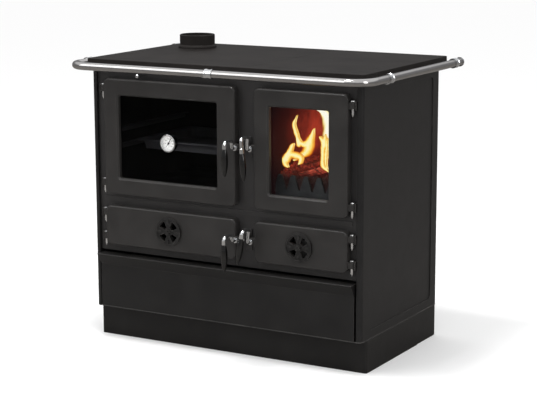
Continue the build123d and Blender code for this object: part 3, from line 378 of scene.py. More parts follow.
# %% Turn the grips and braid the seals
def black_resin(name):
    """Nearly black, glossy under a thin coat, with very shallow waves from the turning."""
    material, tree, shader = new_material(name)
    skin = use(tree, sprayed_skin, Grain_mm=5.0, Patch_mm=30.0)
    colour = blend_colours(tree, skin["Clouds"], (0.002, 0.002, 0.002), (0.004, 0.0036, 0.0034))
    tree.links.new(colour, shader.inputs["Base Color"])
    tree.links.new(remap(tree, skin["Clouds"], to_low=0.12, to_high=0.2), shader.inputs["Roughness"])
    shader.inputs["Coat Weight"].default_value = 0.5
    shader.inputs["Coat Roughness"].default_value = 0.08
    bump(tree, shader, skin["Height"], 0.00005, 0.4)
    return material


def braided_fibre(name):
    """A twill of two crossed waves: height = the greater of two bands turned a quarter against each other."""
    material, tree, shader = new_material(name)
    place = add(tree, "TexCoord").outputs["Object"]
    turned = add(tree, "Mapping", {"Vector": place, "Rotation": (0.0, 1.57, 0.0)}).outputs[0]
    one, two = (
        add(tree, "TexWave", {"Vector": way, "Scale": 90.0, "Distortion": 1.0}, bands_direction="DIAGONAL")
        for way in (place, turned))
    top = add(tree, "Math", {0: one.outputs["Fac"], 1: two.outputs["Fac"]}, operation="MAXIMUM").outputs[0]
    colour = blend_colours(tree, top, (0.01, 0.01, 0.01), (0.055, 0.053, 0.05))
    tree.links.new(colour, shader.inputs["Base Color"])
    shader.inputs["Roughness"].default_value = 0.9
    bump(tree, shader, top, 0.0004)
    return material


finish["grip_black"] = black_resin("black resin")
finish["seal"] = braided_fibre("braided fibre")
print("grips and seals:", finish["grip_black"].name, "and", finish["seal"].name)


# %% Enamel and burnt iron
def sooty(name, clean, soot, rough, grain=1.4, depth=0.0002):
    """A surface of the clean colour under patches of soot; soot is duller than what it covers."""
    material, tree, shader = new_material(name)
    skin = use(tree, sprayed_skin, Grain_mm=grain, Patch_mm=70.0)
    colour = blend_colours(tree, skin["Clouds"], clean, soot)
    tree.links.new(colour, shader.inputs["Base Color"])
    tree.links.new(remap(tree, skin["Clouds"], to_low=rough, to_high=0.92), shader.inputs["Roughness"])
    shader.inputs["Specular IOR Level"].default_value = 0.25
    bump(tree, shader, skin["Height"], depth)
    return material


finish["inner_steel"] = sooty("oven enamel", (0.0035, 0.0035, 0.004), (0.0012, 0.0012, 0.0012), 0.5)
finish["grate_iron"] = sooty("burnt iron", (0.045, 0.049, 0.054), (0.028, 0.030, 0.033), 0.6, 2.2, 0.0004)
finish["hand_black"] = sooty("hand lacquer", (0.01, 0.01, 0.01), (0.006, 0.006, 0.006), 0.3, 0.4, 0.00002)
tray_enamel = sooty("tray enamel", (0.34, 0.34, 0.35), (0.24, 0.24, 0.24), 0.3)
print("finishes so far:", list(finish))


# %% [markdown]
# ## Fire bricks
# Pressed vermiculite, full of flakes and blackened by smoke.  The fire's light reddens the bricks nearest to
# the flames.  A lamp could redden them, but on black bricks it would hardly show, so this firelight is
# painted
# into the brick: an emission that fades with the distance from the heart of the fire, whatever the viewpoint.

# %% Painted firelight round the heart of the fire
fire_low, fire_high = (np.array(corner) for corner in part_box("fire_bricks"))
heart_depth, heart_height, firelight_reach = 0.05, 0.64, 0.27
fire_heart = ((fire_low[0] + fire_high[0]) / 2, heart_depth, heart_height)
firelight_weights = (0.0, 0.75, 1.4)


def firelight_mask(tree, heart, reach, weigh):
    """1 at the heart falling to 0 at the reach; weigh says how much each direction counts in it."""
    place = add(tree, "TexCoord").outputs["Object"]
    offset = add(tree, "VectorMath", {0: place, 1: heart}, operation="SUBTRACT").outputs[0]
    weighed = add(tree, "VectorMath", {0: offset, 1: weigh}, operation="MULTIPLY").outputs[0]
    away = add(tree, "VectorMath", {0: weighed}, operation="LENGTH").outputs["Value"]
    return remap(tree, away, 0.0, reach, 1.0, 0.0, smooth=True)


def colour_ramp(tree, value, stops):
    """Colours at given places along a value."""
    ramp = add(tree, "ValToRGB", {0: value})
    first, last = ramp.color_ramp.elements
    first.position, first.color = stops[0][0], (*stops[0][1], 1)
    last.position, last.color = stops[-1][0], (*stops[-1][1], 1)
    for spot, colour in stops[1:-1]:
        ramp.color_ramp.elements.new(spot).color = (*colour, 1)
    return ramp.outputs[0]


print("heart of the fire:", np.round(fire_heart, 3).tolist())


# %% Press the bricks
def pressed_brick(name):
    """Flaky body blackened by smoke, with painted firelight: an emission from dull red to orange-red towards
    the fire's heart.
    """
    material, tree, shader = new_material(name)
    skin = use(tree, sprayed_skin, Grain_mm=3.0, Patch_mm=55.0)
    place = add(tree, "TexCoord").outputs["Object"]
    flakes = add(tree, "TexVoronoi", {"Vector": place, "Scale": 260.0}).outputs["Distance"]
    body = blend_colours(tree, flakes, (0.016, 0.010, 0.008), (0.008, 0.005, 0.0045))
    colour = blend_colours(tree, skin["Clouds"], body, (0.004, 0.003, 0.003))
    tree.links.new(colour, shader.inputs["Base Color"])
    shader.inputs["Roughness"].default_value = 0.92
    shader.inputs["Specular IOR Level"].default_value = 0.05
    # painted firelight: the bricks' emission, strongest near the fire's heart and gone at the reach
    near = firelight_mask(tree, fire_heart, firelight_reach, firelight_weights)
    heat_and_firelight = multiply(tree, near, remap(tree, skin["Clouds"], to_low=0.72, to_high=1.1))
    emission_colour = colour_ramp(tree, heat_and_firelight, (
        (0.0, (0.006, 0.0022, 0.003)), (0.3, (0.03, 0.0045, 0.004)),
        (0.6, (0.11, 0.012, 0.008)), (1.0, (0.37, 0.038, 0.019))))
    tree.links.new(emission_colour, shader.inputs["Emission Color"])
    shader.inputs["Emission Strength"].default_value = 1.0
    bump(tree, shader, skin["Height"], 0.0006)
    return material


finish["fire_brick"] = pressed_brick("pressed brick")
print("bricks:", finish["fire_brick"].name)


# %% [markdown]
# ## Panes
# Ceramic stove glass is clear with a faint amber cast, and the oven's pane is smokier.  Its shine is held
# low by a small index of refraction, as a photographer's polarising filter would do it, so that the inside
# is seen.  Light has to fall through it on what lies behind, so it casts almost no shadow: for shadow rays
# alone its alpha is near zero.  The dial's cover is thinner still, and is an almost clear film instead.

# %% Glaze the doors
low_bend, let_through = 1.12, 0.95


def stove_glass(name, tint):
    """Smooth glass that lets shadow rays through: alpha = 1 - let_through for a shadow ray, else 1."""
    material, tree, shader = new_material(name)
    shader.inputs["Base Color"].default_value = (*tint, 1.0)
    shader.inputs["Roughness"].default_value = 0.02
    shader.inputs["IOR"].default_value = low_bend
    shader.inputs["Transmission Weight"].default_value = 1.0
    shadow = add(tree, "LightPath").outputs["Is Shadow Ray"]
    tree.links.new(scale_and_shift(tree, shadow, -let_through, 1.0), shader.inputs["Alpha"])
    return material


finish["pane"] = stove_glass("clear pane", (0.93, 0.92, 0.9))
oven_pane = stove_glass("smoked pane", (0.42, 0.42, 0.44))
print("panes:", finish["pane"].name, "and", oven_pane.name)


# %% Enamel and cover the dial
def wiped_cover(name):
    """An almost clear film, a little denser where a wipe has left its traces."""
    material, tree, shader = new_material(name)
    skin = use(tree, sprayed_skin, Grain_mm=0.8, Patch_mm=15.0)
    tree.links.new(remap(tree, skin["Clouds"], to_low=0.03, to_high=0.07), shader.inputs["Alpha"])
    shader.inputs["Roughness"].default_value = 0.05
    return material


def dial_enamel(name):
    """White that has yellowed a little in clouds."""
    material, tree, shader = new_material(name)
    skin = use(tree, sprayed_skin, Grain_mm=0.5, Patch_mm=20.0)
    colour = blend_colours(tree, skin["Clouds"], (0.9, 0.9, 0.88), (0.82, 0.81, 0.79))
    tree.links.new(colour, shader.inputs["Base Color"])
    shader.inputs["Roughness"].default_value = 0.35
    return material


cover = wiped_cover("dial cover")
finish["dial_white"] = dial_enamel("dial enamel")
print("dial:", cover.name, "and", finish["dial_white"].name)


# %% [markdown]
# ## Dressing the solids
# Each solid came with the name of its material slot, so a finish reaches all its solids in one loop.  A few
# nodes look different from the rest of their slot, and these have a finish of their own in a short table.

# %% Put each finish on the nodes of its slot
own_finish = {
    "oven_glass": oven_pane,
    "oven_tray": tray_enamel,
    # the air discs and the drawer front take the darker drawer paint, which paints shade onto them
    "soot_air_disc": drawer_paint_with_shade,
    "ash_air_disc": drawer_paint_with_shade,
    "thermometer_lens": cover,
    "drawer_front": drawer_paint_with_shade,
    "rail_side_left": side_rail_steel,
    "rail_side_right": side_rail_steel,
}
for entry in frame["record"]["subparts"]:
    solid = nodes[entry["node"]]
    coat = own_finish.get(entry["node"], finish[entry["material_slot"]])
    for place in solid.material_slots:
        place.material = coat


# %% [markdown]
# ## Surfaces from formulas
# New pieces are grids of points.  They could be sculpted, but a formula can be read, checked and changed.  A
# grid knows its neighbours, so its faces are plain arithmetic on row and column numbers, and a ring-shaped
# grid only has to join its last column to its first.  Every piece rides on one of the cooker's moving
# bodies.

# %% Grids into meshes
def grid_faces(rows, columns, wrap):
    """Quads between neighbouring rows and columns; with wrap, the last column meets the first."""
    row = np.arange(rows - 1)[:, None]
    column = np.arange(columns if wrap else columns - 1)[None, :]
    beside = (column + 1) % columns
    corners = (row * columns + column, row * columns + beside,
               (row + 1) * columns + beside, (row + 1) * columns + column)
    return np.stack([np.broadcast_to(c, (rows - 1, column.size)) for c in corners], -1).reshape(-1, 4)


print("faces of a closed 3 by 4 grid:", len(grid_faces(3, 4, True)))


# %% Meshes into pieces
def set_piece(name, mesh, coat, body):
    """The mesh in its coat as a piece of the scene, riding on a body."""
    mesh.materials.append(coat)
    thing = bpy.data.objects.new(name, mesh)
    bpy.context.collection.objects.link(thing)
    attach(thing, body)


def smooth_mesh(name, points, faces):
    """A mesh of points and faces, shaded smooth."""
    mesh = bpy.data.meshes.new(name)
    mesh.from_pydata(points.tolist(), [], faces)
    mesh.polygons.foreach_set("use_smooth", [True] * len(mesh.polygons))
    return mesh


def grid_piece(name, grid, coat, body, tube=False):
    """A piece from a (rows, columns, 3) grid; a tube joins its last column to its first and has ends."""
    rows, columns = grid.shape[:2]
    faces = grid_faces(rows, columns, tube).tolist()
    if tube:
        faces.append(list(range(columns))[::-1])
        faces.append(list(range((rows - 1) * columns, rows * columns)))
    mesh = smooth_mesh(name, grid.reshape(-1, 3), faces)
    mesh.validate()
    set_piece(name, mesh, coat, body)


print("helpers: set_piece, smooth_mesh, grid_piece")


# %% Ripples
def ripple(seed, terms, *coordinates):
    """A smooth random wave: a sum of sines with seeded directions, growing finer and weaker."""
    rng = np.random.default_rng(seed)
    total = 0.0
    for step in range(terms):
        pull = rng.normal(size=len(coordinates)) * (1.6 ** step)
        phase = rng.uniform(0, 2 * np.pi)
        wave = np.sin(sum(p * c for p, c in zip(pull, coordinates)) + phase)
        total = total + wave * (0.7 ** step)
    return total / 2.0


print("a ripple along a line:", np.round(ripple(1, 5, np.linspace(0, 1, 4)), 2).tolist())


# %% [markdown]
# ## Embers and logs
# The fire stands on the grate: a heap of broken charcoal against the toothed plate, and split logs burnt
# dark, red where the air reaches them.  A log is a tube whose radius is disturbed by ripples along and
# round it; the heap is a height over the grate's plan.  Charcoal is a mass of crumbs: each crumb glows on
# its own, so a cell pattern gives every crumb one brightness, the gaps between crumbs stay black, and the
# foot of the heap, where ash keeps the air away, is dark.

# %% Char and ember material
ash_height, air_height = 0.532, 0.562


def glowing_char(name, cell, stretch, dull, bright):
    """Emission = crumb brightness x gaps x patches x height, coloured from dull to bright."""
    material, tree, shader = new_material(name)
    place = add(tree, "TexCoord").outputs["Object"]
    bent = add(tree, "TexNoise", {"Vector": place, "Scale": 90.0, "Detail": 3.0}).outputs["Color"]
    moved = add(tree, "VectorMath", {0: bent, 1: (0.014, 0.014, 0.014), 2: place}, operation="MULTIPLY_ADD")
    long_way = add(tree, "VectorMath", {0: moved.outputs[0], 1: stretch}, operation="MULTIPLY").outputs[0]
    cells = {"Vector": long_way, "Scale": cell}
    gaps = add(tree, "TexVoronoi", cells, feature="DISTANCE_TO_EDGE").outputs["Distance"]
    each = add(tree, "SeparateColor", {0: add(tree, "TexVoronoi", cells).outputs["Color"]}).outputs[0]
    closed = remap(tree, gaps, 0.0, 0.16, smooth=True)
    patch = add(tree, "TexNoise", {"Vector": place, "Scale": 38.0, "Detail": 4.0, "Roughness": 0.7})
    alive = remap(tree, patch.outputs["Fac"], 0.3, 0.6, to_low=0.12)
    height = add(tree, "SeparateXYZ", {0: place}).outputs["Z"]
    airy = remap(tree, height, ash_height, air_height, smooth=True)
    heat_and_firelight = scale_and_shift(tree, each, 0.55, 0.45)
    for factor in (closed, alive, airy):
        heat_and_firelight = multiply(tree, heat_and_firelight, factor)
    emission_colour = colour_ramp(tree, heat_and_firelight, ((0.0, (0.008, 0.0015, 0.0015)), (0.35, dull), (1.0, bright)))
    tree.links.new(emission_colour, shader.inputs["Emission Color"])
    shader.inputs["Emission Strength"].default_value = 1.0
    crust = blend_colours(tree, closed, (0.006, 0.005, 0.005), (0.03, 0.018, 0.015))
    tree.links.new(crust, shader.inputs["Base Color"])
    shader.inputs["Roughness"].default_value = 0.85
    bump(tree, shader, gaps, 0.004, 0.7)
    return material


ember = glowing_char("ember", 170.0, (1.0, 1.0, 1.0), (0.16, 0.014, 0.009), (0.5, 0.06, 0.03))
char = glowing_char("char", 120.0, (0.5, 1.0, 1.6), (0.13, 0.011, 0.008), (0.42, 0.045, 0.025))
red_log = glowing_char("red log", 120.0, (0.25, 1.0, 1.4), (0.3, 0.034, 0.018), (0.7, 0.13, 0.07))
print("chars:", ember.name, char.name, red_log.name)


# %% Heap the embers
grate_low, grate_high = (np.array(corner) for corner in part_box("fire_grate"))


def ember_heap(columns=110, rows=130):
    """Height over the grate = rise behind the fence x (body of the heap + lumps), never under the least."""
    margin, least = 0.002, 0.004
    x = np.linspace(grate_low[0] + margin, grate_high[0] - margin, columns)[None, :]
    y = np.linspace(grate_low[1] + margin, grate_high[1] - margin, rows)[:, None]
    depth = (y - y.min()) / (y.max() - y.min())
    across = (x - x.min()) / (x.max() - x.min())
    fence_rise = np.clip(depth / 0.035, 0, 1) ** 0.6
    middle_rise = 0.022 * np.clip((depth - 0.05) / 0.35, 0, 1) ** 0.8
    back_fall = 0.03 * np.clip((depth - 0.6) / 0.4, 0, 1) ** 2
    left_bank = 0.018 * np.clip(1 - across / 0.45, 0, 1)
    heap = 0.070 + middle_rise - back_fall + 0.006 * across + left_bank
    lumps = np.abs(ripple(3, 7, x * 110, y * 110)) + 0.5 * np.abs(ripple(8, 6, x * 320, y * 320))
    height = grate_high[2] + np.maximum(least, fence_rise * heap + 0.008 * (lumps - 0.8) * fence_rise)
    return np.stack([np.broadcast_to(x, height.shape), np.broadcast_to(y, height.shape), height], -1)


heap = ember_heap()
grid_piece("ember_heap", heap, ember, "casing")
print("heap top:", round(float(heap[..., 2].max()), 3), "m")


# %% Lay the logs
def log(start, end, radius, seed, rings=60, sides=40):
    """Ring = point of the axis + radius x (0.9 + bark - split) x close, in the plane across the axis."""
    start, end = np.array(start), np.array(end)
    axis = (end - start) / np.linalg.norm(end - start)
    side = np.cross(axis, [0, 0, 1])
    side /= np.linalg.norm(side)
    over = np.cross(side, axis)
    run = np.linspace(0, 1, rings)[:, None]
    angle = np.linspace(0, 2 * np.pi, sides, endpoint=False)[None, :]
    bark = 0.10 * ripple(seed, 5, np.cos(angle) * 2.2, np.sin(angle) * 2.2, run * 6)
    split = 0.16 * np.abs(np.cos(angle * 1.5 + seed))
    close = np.clip(np.minimum(run, 1 - run) / 0.03, 0.25, 1.0) ** 0.5
    reach = (radius * (0.9 + bark - split) * close)[..., None]
    centre = start + (end - start) * run[..., None]
    return centre + reach * (np.cos(angle)[..., None] * side + np.sin(angle)[..., None] * over)


logs = [
    ((0.200, -0.158, 0.534), (0.290, -0.145, 0.563), 0.0120, 4, red_log),
    ((0.222, -0.125, 0.556), (0.262, 0.010, 0.562), 0.0150, 9, char),
    ((0.168, -0.120, 0.552), (0.330, -0.020, 0.563), 0.0150, 15, char),
    ((0.190, 0.060, 0.548), (0.355, 0.020, 0.560), 0.0220, 21, char),
]
for number, (start, end, radius, seed, coat) in enumerate(logs, 1):
    grid_piece(f"log_{number}", log(start, end, radius, seed), coat, "casing", tube=True)
print("logs:", len(logs))


# %% [markdown]
# ## Flames
# A flame is hot gas with a soft edge: almost white in its core, yellow round it, orange and then red where
# it thins out, and two tongues that meet run into one.  So heat is worked out first, as a field over an
# upright plane: each tongue is a curve with a width, its heat falls from 1 on the curve to 0 at the edge,
# and overlapping tongues add up by their squares.  The flame's body is the part of the plane where there
# is heat, swollen in front and behind by the root of the heat, so it closes at its own edge.  A picture on
# a card would be simpler, but it shows its flatness from the side.  Two thirds of the heat are written
# into the mesh's map as its first coordinate, and from there the material takes colour and alpha.

# %% Flame material
heat_scale, flame_strength = 1.5, 1.05


def flame_stuff(name, stops):
    """Colour by heat along the stops; alpha rises from nothing at the edge; licks of noise stir both."""
    material, tree, shader = new_material(name)
    across = add(tree, "SeparateXYZ", {0: add(tree, "TexCoord").outputs["UV"]}).outputs["X"]
    heat = multiply(tree, across, heat_scale)
    place = add(tree, "TexCoord").outputs["Object"]
    stretched = add(tree, "Mapping", {"Vector": place, "Scale": (150.0, 20.0, 60.0)}).outputs[0]
    licks = add(tree, "TexNoise", {"Vector": stretched, "Scale": 1.0, "Detail": 2.0}).outputs["Fac"]
    stirred = multiply(tree, heat, scale_and_shift(tree, licks, 0.5, 0.75))
    tree.links.new(colour_ramp(tree, stirred, stops), shader.inputs["Emission Color"])
    shader.inputs["Emission Strength"].default_value = flame_strength
    shader.inputs["Base Color"].default_value = (0.0, 0.0, 0.0, 1.0)
    shader.inputs["Specular IOR Level"].default_value = 0.0
    tree.links.new(remap(tree, stirred, 0.03, 0.52, smooth=True), shader.inputs["Alpha"])
    return material


flame_coat = flame_stuff("flame", (
    (0.0, (0.3, 0.02, 0.004)), (0.25, (0.72, 0.15, 0.01)), (0.42, (0.92, 0.42, 0.035)),
    (0.62, (1.0, 0.8, 0.2)), (0.95, (1.0, 0.93, 0.5))))
pale_coat = flame_stuff("pale flame", (
    (0.0, (0.6, 0.12, 0.01)), (0.2, (0.95, 0.55, 0.09)),
    (0.36, (1.0, 0.88, 0.4)), (0.7, (1.0, 0.98, 0.86))))
print("flames:", flame_coat.name, "and", pale_coat.name)


# %% Heat of the tongues
def smooth_through(points, count):
    """Catmull-Rom: each span is a cubic through its ends, with slopes taken from the points beside them."""
    points = np.array(points, float)
    padded = np.vstack([2 * points[0] - points[1], points, 2 * points[-1] - points[-2]])
    run = np.linspace(0, len(points) - 1, count)
    span = np.minimum(run.astype(int), len(points) - 2)
    t = (run - span)[:, None]
    before, start, end, after = (padded[span + k] for k in range(4))
    return 0.5 * (2 * start + (end - before) * t + (2 * before - 5 * start + 4 * end - after) * t ** 2
                  + (3 * start - before - 3 * end + after) * t ** 3)


def tongue_heat(x, z, knots, spread=1.55, count=150):
    """max over the curve's points of 1 - distance / (spread x half-width there), never under 0."""
    line = smooth_through(knots, count)
    width = spread * np.maximum(line[:, 2], 0.0006)
    away = np.hypot(x[..., None] - line[:, 0], z[..., None] - line[:, 1]) / width
    return np.clip(1 - away.min(-1), 0, None)


print("points on a tongue of 3 knots:", len(smooth_through([(0, 0, 1), (0, 1, 1), (0, 2, 0)], 150)))


# %% Body of a flame
def flame_body(name, plane, tongues, coat, seed, cell=0.0009, sway=0.0016, thick=0.006, lean=0.004):
    """Cells with heat, doubled to a front and a back that swell by sqrt(heat) and meet where heat is 0."""
    knots = np.concatenate([np.array(t, float) for t in tongues])
    reach = 1.8 * knots[:, 2].max()
    columns = np.arange(knots[:, 0].min() - reach, knots[:, 0].max() + reach, cell)
    rows = np.arange(knots[:, 1].min() - reach, knots[:, 1].max() + reach, cell)
    x, z = np.meshgrid(columns, rows)
    bent_x = x + sway * ripple(seed, 5, x * 160, z * 60)
    bent_z = z + sway * ripple(seed + 1, 5, x * 60, z * 110)
    heat = np.sqrt(sum(tongue_heat(bent_x, bent_z, t) ** 2 for t in tongues))
    swell = thick * np.sqrt(np.clip(heat, 0, 1))
    middle = plane + lean * np.sin(z * 40)
    front = np.stack([x, middle - swell, z], -1).reshape(-1, 3)
    back = np.stack([x, middle + swell, z], -1).reshape(-1, 3)
    heat_and_firelight = heat.ravel() > 0
    front_id = np.arange(heat_and_firelight.size)
    back_id = np.where(heat_and_firelight, front_id + heat_and_firelight.size, front_id)
    cells = grid_faces(*x.shape, False)
    cells = cells[heat_and_firelight[cells].any(1)]
    faces = np.concatenate([front_id[cells], back_id[cells][:, ::-1]])
    used, faces = np.unique(faces, return_inverse=True)
    points = np.concatenate([front, back])[used]
    mesh = smooth_mesh(name, points, faces.reshape(-1, 4).tolist())
    layer = mesh.uv_layers.new(name="heat")
    corner = np.empty(len(mesh.loops), int)
    mesh.loops.foreach_get("vertex_index", corner)
    warmth = np.tile(heat.ravel(), 2)[used][corner] / heat_scale
    layer.data.foreach_set("uv", np.stack([warmth, points[corner, 2]], 1).ravel())
    mesh.validate()
    set_piece(name, mesh, coat, "casing")
    return len(mesh.polygons)


print("helper: flame_body")


# %% [markdown]
# ### The tongues
# Each tongue is a list of (place across, height, half-width), in metres and from its foot to its tip.  The
# numbers were read off the fire's outlines and brought into the cooker's own frame.

# %% Light the fire
tall_left = [(0.189, 0.622, 0.0068), (0.184, 0.641, 0.0060), (0.177, 0.655, 0.0060), (0.172, 0.669, 0.0056),
             (0.171, 0.680, 0.0046), (0.176, 0.691, 0.0031), (0.183, 0.705, 0.0006)]
tall_right = [(0.176, 0.576, 0.003), (0.189, 0.583, 0.0060), (0.206, 0.595, 0.0085), (0.217, 0.606, 0.0125),
              (0.223, 0.620, 0.0138), (0.225, 0.635, 0.0118), (0.230, 0.650, 0.0072), (0.236, 0.671, 0.0006)]
web = [(0.180, 0.645, 0.0015), (0.186, 0.633, 0.0055), (0.200, 0.625, 0.0062), (0.215, 0.625, 0.0085),
       (0.226, 0.634, 0.0050)]
short = [(0.171, 0.584, 0.0090), (0.174, 0.592, 0.0090), (0.179, 0.604, 0.0074), (0.184, 0.616, 0.0066),
         (0.188, 0.625, 0.0040), (0.190, 0.629, 0.0008)]
curl = [(0.174, 0.560, 0.0012), (0.166, 0.568, 0.0068), (0.1635, 0.581, 0.0084), (0.171, 0.593, 0.0080),
        (0.186, 0.597, 0.0090), (0.202, 0.596, 0.0098), (0.216, 0.591, 0.0078), (0.215, 0.580, 0.0056),
        (0.208, 0.572, 0.0014)]
right_low = [(0.314, 0.550, 0.0010), (0.3025, 0.5595, 0.0034), (0.2924, 0.568, 0.0054),
             (0.287, 0.577, 0.0060), (0.2865, 0.590, 0.0056), (0.2877, 0.605, 0.0060),
             (0.2869, 0.619, 0.0062), (0.2884, 0.633, 0.0080), (0.291, 0.6455, 0.0070),
             (0.293, 0.662, 0.0012)]
right_nub = [(0.2905, 0.632, 0.0060), (0.2825, 0.644, 0.0064), (0.273, 0.653, 0.0028)]
far_right = [(0.2985, 0.562, 0.0010), (0.2968, 0.585, 0.0032), (0.2976, 0.599, 0.0036),
             (0.2975, 0.618, 0.0034), (0.299, 0.650, 0.0008)]
sheet = [(0.204, 0.560, 0.0040), (0.206, 0.575, 0.0080), (0.211, 0.605, 0.0125), (0.214, 0.640, 0.0160),
         (0.2125, 0.668, 0.0175), (0.206, 0.688, 0.0145), (0.193, 0.6990, 0.0080), (0.174, 0.7035, 0.0010)]
flames = {
    "flame_tall": (-0.125, [tall_left, tall_right, web], flame_coat, 1),
    "flame_curl": (-0.160, [short, curl], flame_coat, 5),
    "flame_right": (-0.160, [right_low, right_nub, far_right], flame_coat, 9),
    "flame_sheet": (0.012, [sheet], pale_coat, 13),
}
for name, (plane, tongues, coat, seed) in flames.items():
    print(name, "faces:", flame_body(name, plane, tongues, coat, seed))


# %% [markdown]
# ## The oven's dial
# The dial is printed: eight numbers round three quarters of a circle, a long tick at each and four short
# ones between.  An image could carry them, but shapes stay sharp at any distance.  The digits are text
# turned into mesh; the ticks are thin quads found by turning one tick by an array of angles at once.

# %% Print the dial
dial_low, dial_high = (np.array(corner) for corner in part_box("thermometer_dial"))
dial_centre = (dial_low + dial_high) / 2
dial_face = dial_low[1] - 0.00005
dial_radius = (dial_high[0] - dial_low[0]) / 2
scale_end, numbers, short_ticks = 135, 8, 36


def printing_ink(name):
    """Blue-black with a faint tooth."""
    material, tree, shader = new_material(name)
    shader.inputs["Base Color"].default_value = (0.01, 0.01, 0.012, 1.0)
    shader.inputs["Roughness"].default_value = 0.5
    skin = use(tree, sprayed_skin, Grain_mm=0.3, Patch_mm=8.0)
    bump(tree, shader, skin["Height"], 0.00001, 0.3)
    return material


def ticks(count, inner, outer, half_width):
    """Quads between two shares of the radius, turned over the scale, clockwise from the top."""
    angle = np.radians(np.linspace(-scale_end, scale_end, count))[:, None]
    radius = dial_radius * np.array([inner, outer, outer, inner])[None, :]
    aside = np.array([-half_width, -half_width, half_width, half_width])[None, :]
    x = radius * np.sin(angle) + aside * np.cos(angle)
    z = radius * np.cos(angle) - aside * np.sin(angle)
    return np.stack([dial_centre[0] + x, np.full_like(x, dial_face), dial_centre[2] + z], -1)


ink = printing_ink("printing ink")
scale_marks = np.concatenate([ticks(numbers, 0.74, 0.94, 0.00035), ticks(short_ticks, 0.84, 0.94, 0.00018)])
tick_mesh = bpy.data.meshes.new("dial_ticks")
tick_faces = np.arange(len(scale_marks) * 4).reshape(-1, 4)[:, ::-1]
tick_mesh.from_pydata(scale_marks.reshape(-1, 3).tolist(), [], tick_faces.tolist())
set_piece("dial_ticks", tick_mesh, ink, "oven_door_leaf")
print("dial ticks:", len(scale_marks))


# %% Set the numbers
def printed_number(text, angle, radius, size):
    """A number set upright with its middle on the circle, flat on the dial, stood up to face the front."""
    curve = bpy.data.curves.new("digits", "FONT")
    curve.body, curve.size, curve.align_x, curve.align_y = text, size, "CENTER", "CENTER"
    holder = bpy.data.objects.new("digits", curve)
    bpy.context.collection.objects.link(holder)
    bpy.context.view_layer.update()
    mesh = bpy.data.meshes.new_from_object(holder.evaluated_get(bpy.context.evaluated_depsgraph_get()))
    bpy.data.objects.remove(holder)
    turn = math.radians(angle)
    aside, over = radius * math.sin(turn), radius * math.cos(turn)
    spot = Vector((dial_centre[0] + aside, dial_face, dial_centre[2] + over))
    mesh.transform(Matrix.Translation(spot) @ Matrix.Rotation(math.radians(90), 4, "X"))
    mesh.materials.clear()
    set_piece("dial_number_" + text, mesh, ink, "oven_door_leaf")


degrees_each, number_circle, number_height = 50, 0.56, 0.0052
for step, angle in enumerate(np.linspace(-scale_end, scale_end, numbers)):
    printed_number(str(step * degrees_each), float(angle), dial_radius * number_circle, number_height)
print("dial numbers: 0 to", degrees_each * (numbers - 1))


# %% [markdown]
# ## The studio
# A catalogue photograph: a pale floor that runs out of sight and a soft white sky.  One big lamp could light
# it all, but black iron shows its form only by what it mirrors.  So what the camera sees and what the metal
# mirrors differ, by the kind of ray: the floor is white to the eye and greyer to reflections, and the
# mirrored sky is dark near the horizon and turns bright between 17 and 30 degrees up.  That keeps the
# lower half of the rail dark, as a polished tube looks over a shaded studio floor.

# %% Floor
def studio_floor(reach):
    """A large quad at zero height; Light Path makes it greyer for glossy rays."""
    material, tree, shader = new_material("studio floor")
    glossy = add(tree, "LightPath").outputs["Is Glossy Ray"]
    colour = blend_colours(tree, glossy, (0.93, 0.93, 0.93), (0.2, 0.19, 0.18))
    tree.links.new(colour, shader.inputs["Base Color"])
    shader.inputs["Roughness"].default_value = 0.9
    shader.inputs["Specular IOR Level"].default_value = 0.0
    mesh = bpy.data.meshes.new("floor")
    corners = [(-reach, -reach, 0), (reach, -reach, 0), (reach, reach, 0), (-reach, reach, 0)]
    mesh.from_pydata(corners, [], [(0, 1, 2, 3)])
    mesh.materials.append(material)
    thing = bpy.data.objects.new("floor", mesh)
    bpy.context.collection.objects.link(thing)
    return thing


print("floor:", np.round(studio_floor(40).dimensions[:2], 1).tolist(), "m")


# %% Sky
world = bpy.data.worlds.new("studio")
bpy.context.scene.world = world
world.use_nodes = True
sky = world.node_tree
background = sky.nodes["Background"]
mirrored = add(sky, "LightPath").outputs["Is Glossy Ray"]
up = add(sky, "SeparateXYZ", {0: add(sky, "TexCoord").outputs["Generated"]}).outputs["Z"]
wall = blend_colours(sky, remap(sky, up, -0.1, 0.7), (0.95, 0.95, 0.95), (1.0, 1.0, 1.0))
shine = blend_colours(sky, remap(sky, up, 0.29, 0.5), (0.24, 0.24, 0.245), (0.88, 0.88, 0.89))
sky.links.new(blend_colours(sky, mirrored, wall, shine), background.inputs["Color"])
background.inputs["Strength"].default_value = 1.05
bpy.context.scene.view_settings.view_transform = "Standard"
print("sky:", world.name)


# %% [markdown]
# ### Lamps
# A small box right overhead models the hob and the sills, a large soft key from the upper left lights the
# fronts, and a fill from the right keeps the side from going flat.  A tiny warm lamp hangs in the flames,
# so that bricks and logs catch the fire's light.

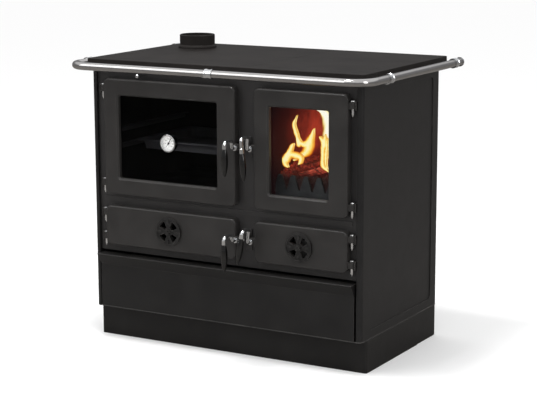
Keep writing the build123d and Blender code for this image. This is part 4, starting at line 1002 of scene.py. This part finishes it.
# %% Lamps
def soft_box(name, place, aim, width, height, power):
    """A rectangular lamp that looks at a point."""
    lamp = bpy.data.lights.new(name, "AREA")
    lamp.shape, lamp.size, lamp.size_y, lamp.energy = "RECTANGLE", width, height, power
    holder = bpy.data.objects.new(name, lamp)
    holder.location = place
    holder.rotation_mode = "QUATERNION"
    holder.rotation_quaternion = (Vector(aim) - Vector(place)).to_track_quat("-Z", "Y")
    bpy.context.collection.objects.link(holder)


def fire_light(name, place, power, colour, radius=0.02):
    """A small round lamp inside the flames."""
    lamp = bpy.data.lights.new(name, "POINT")
    lamp.energy, lamp.color, lamp.shadow_soft_size = power, colour, radius
    holder = bpy.data.objects.new(name, lamp)
    holder.location = place
    bpy.context.collection.objects.link(holder)


soft_box("overhead", (-0.22, -0.54, 3.3), (0.0, -0.54, 0.5), 0.5, 0.6, 52.0)
soft_box("key", (-2.6, -3.2, 3.4), (0.0, 0.0, 0.5), 3.2, 3.2, 55.0)
soft_box("fill", (3.6, -1.2, 2.2), (0.2, 0.0, 0.5), 1.0, 2.2, 30.0)
fire_light("fire", (0.27, -0.02, 0.63), 0.06, (1.0, 0.36, 0.1))
print("lamps:", len(bpy.data.lights))


# %% [markdown]
# ## The camera
# The picture was taken from a step to the right and a little above the hob with a long lens, about three
# frame-widths, so the upright edges stay nearly parallel.  Such a camera can be placed by eye, but the
# place, the turn and the focal length below were found by matching the corners of the doors, the rail and
# the plinth, and the turn is built up from its three axes.

# %% Set the camera
yaw, pitch, roll = (math.radians(v) for v in (29.822, 11.14, 0.192))
camera_place = Vector((2.4397, -4.2309, 1.3669))
focal_pixels, frame_pixels, sensor_millimetres = 1651.8, 537.0, 36.0
ahead = Vector((-math.sin(yaw) * math.cos(pitch), math.cos(yaw) * math.cos(pitch), -math.sin(pitch)))
right = Vector((math.cos(yaw), math.sin(yaw), 0.0))
down = ahead.cross(right)
tilted_right = right * math.cos(roll) + down * math.sin(roll)
tilted_down = down * math.cos(roll) - right * math.sin(roll)
lens = bpy.data.cameras.new("camera")
lens.sensor_width = sensor_millimetres
lens.lens = sensor_millimetres * focal_pixels / frame_pixels
camera = bpy.data.objects.new("camera", lens)
axes = Matrix((tilted_right, -tilted_down, -ahead)).transposed().to_4x4()
camera.matrix_world = Matrix.Translation(camera_place) @ axes
bpy.context.collection.objects.link(camera)
bpy.context.scene.camera = camera
print("lens:", round(lens.lens, 2), "mm")
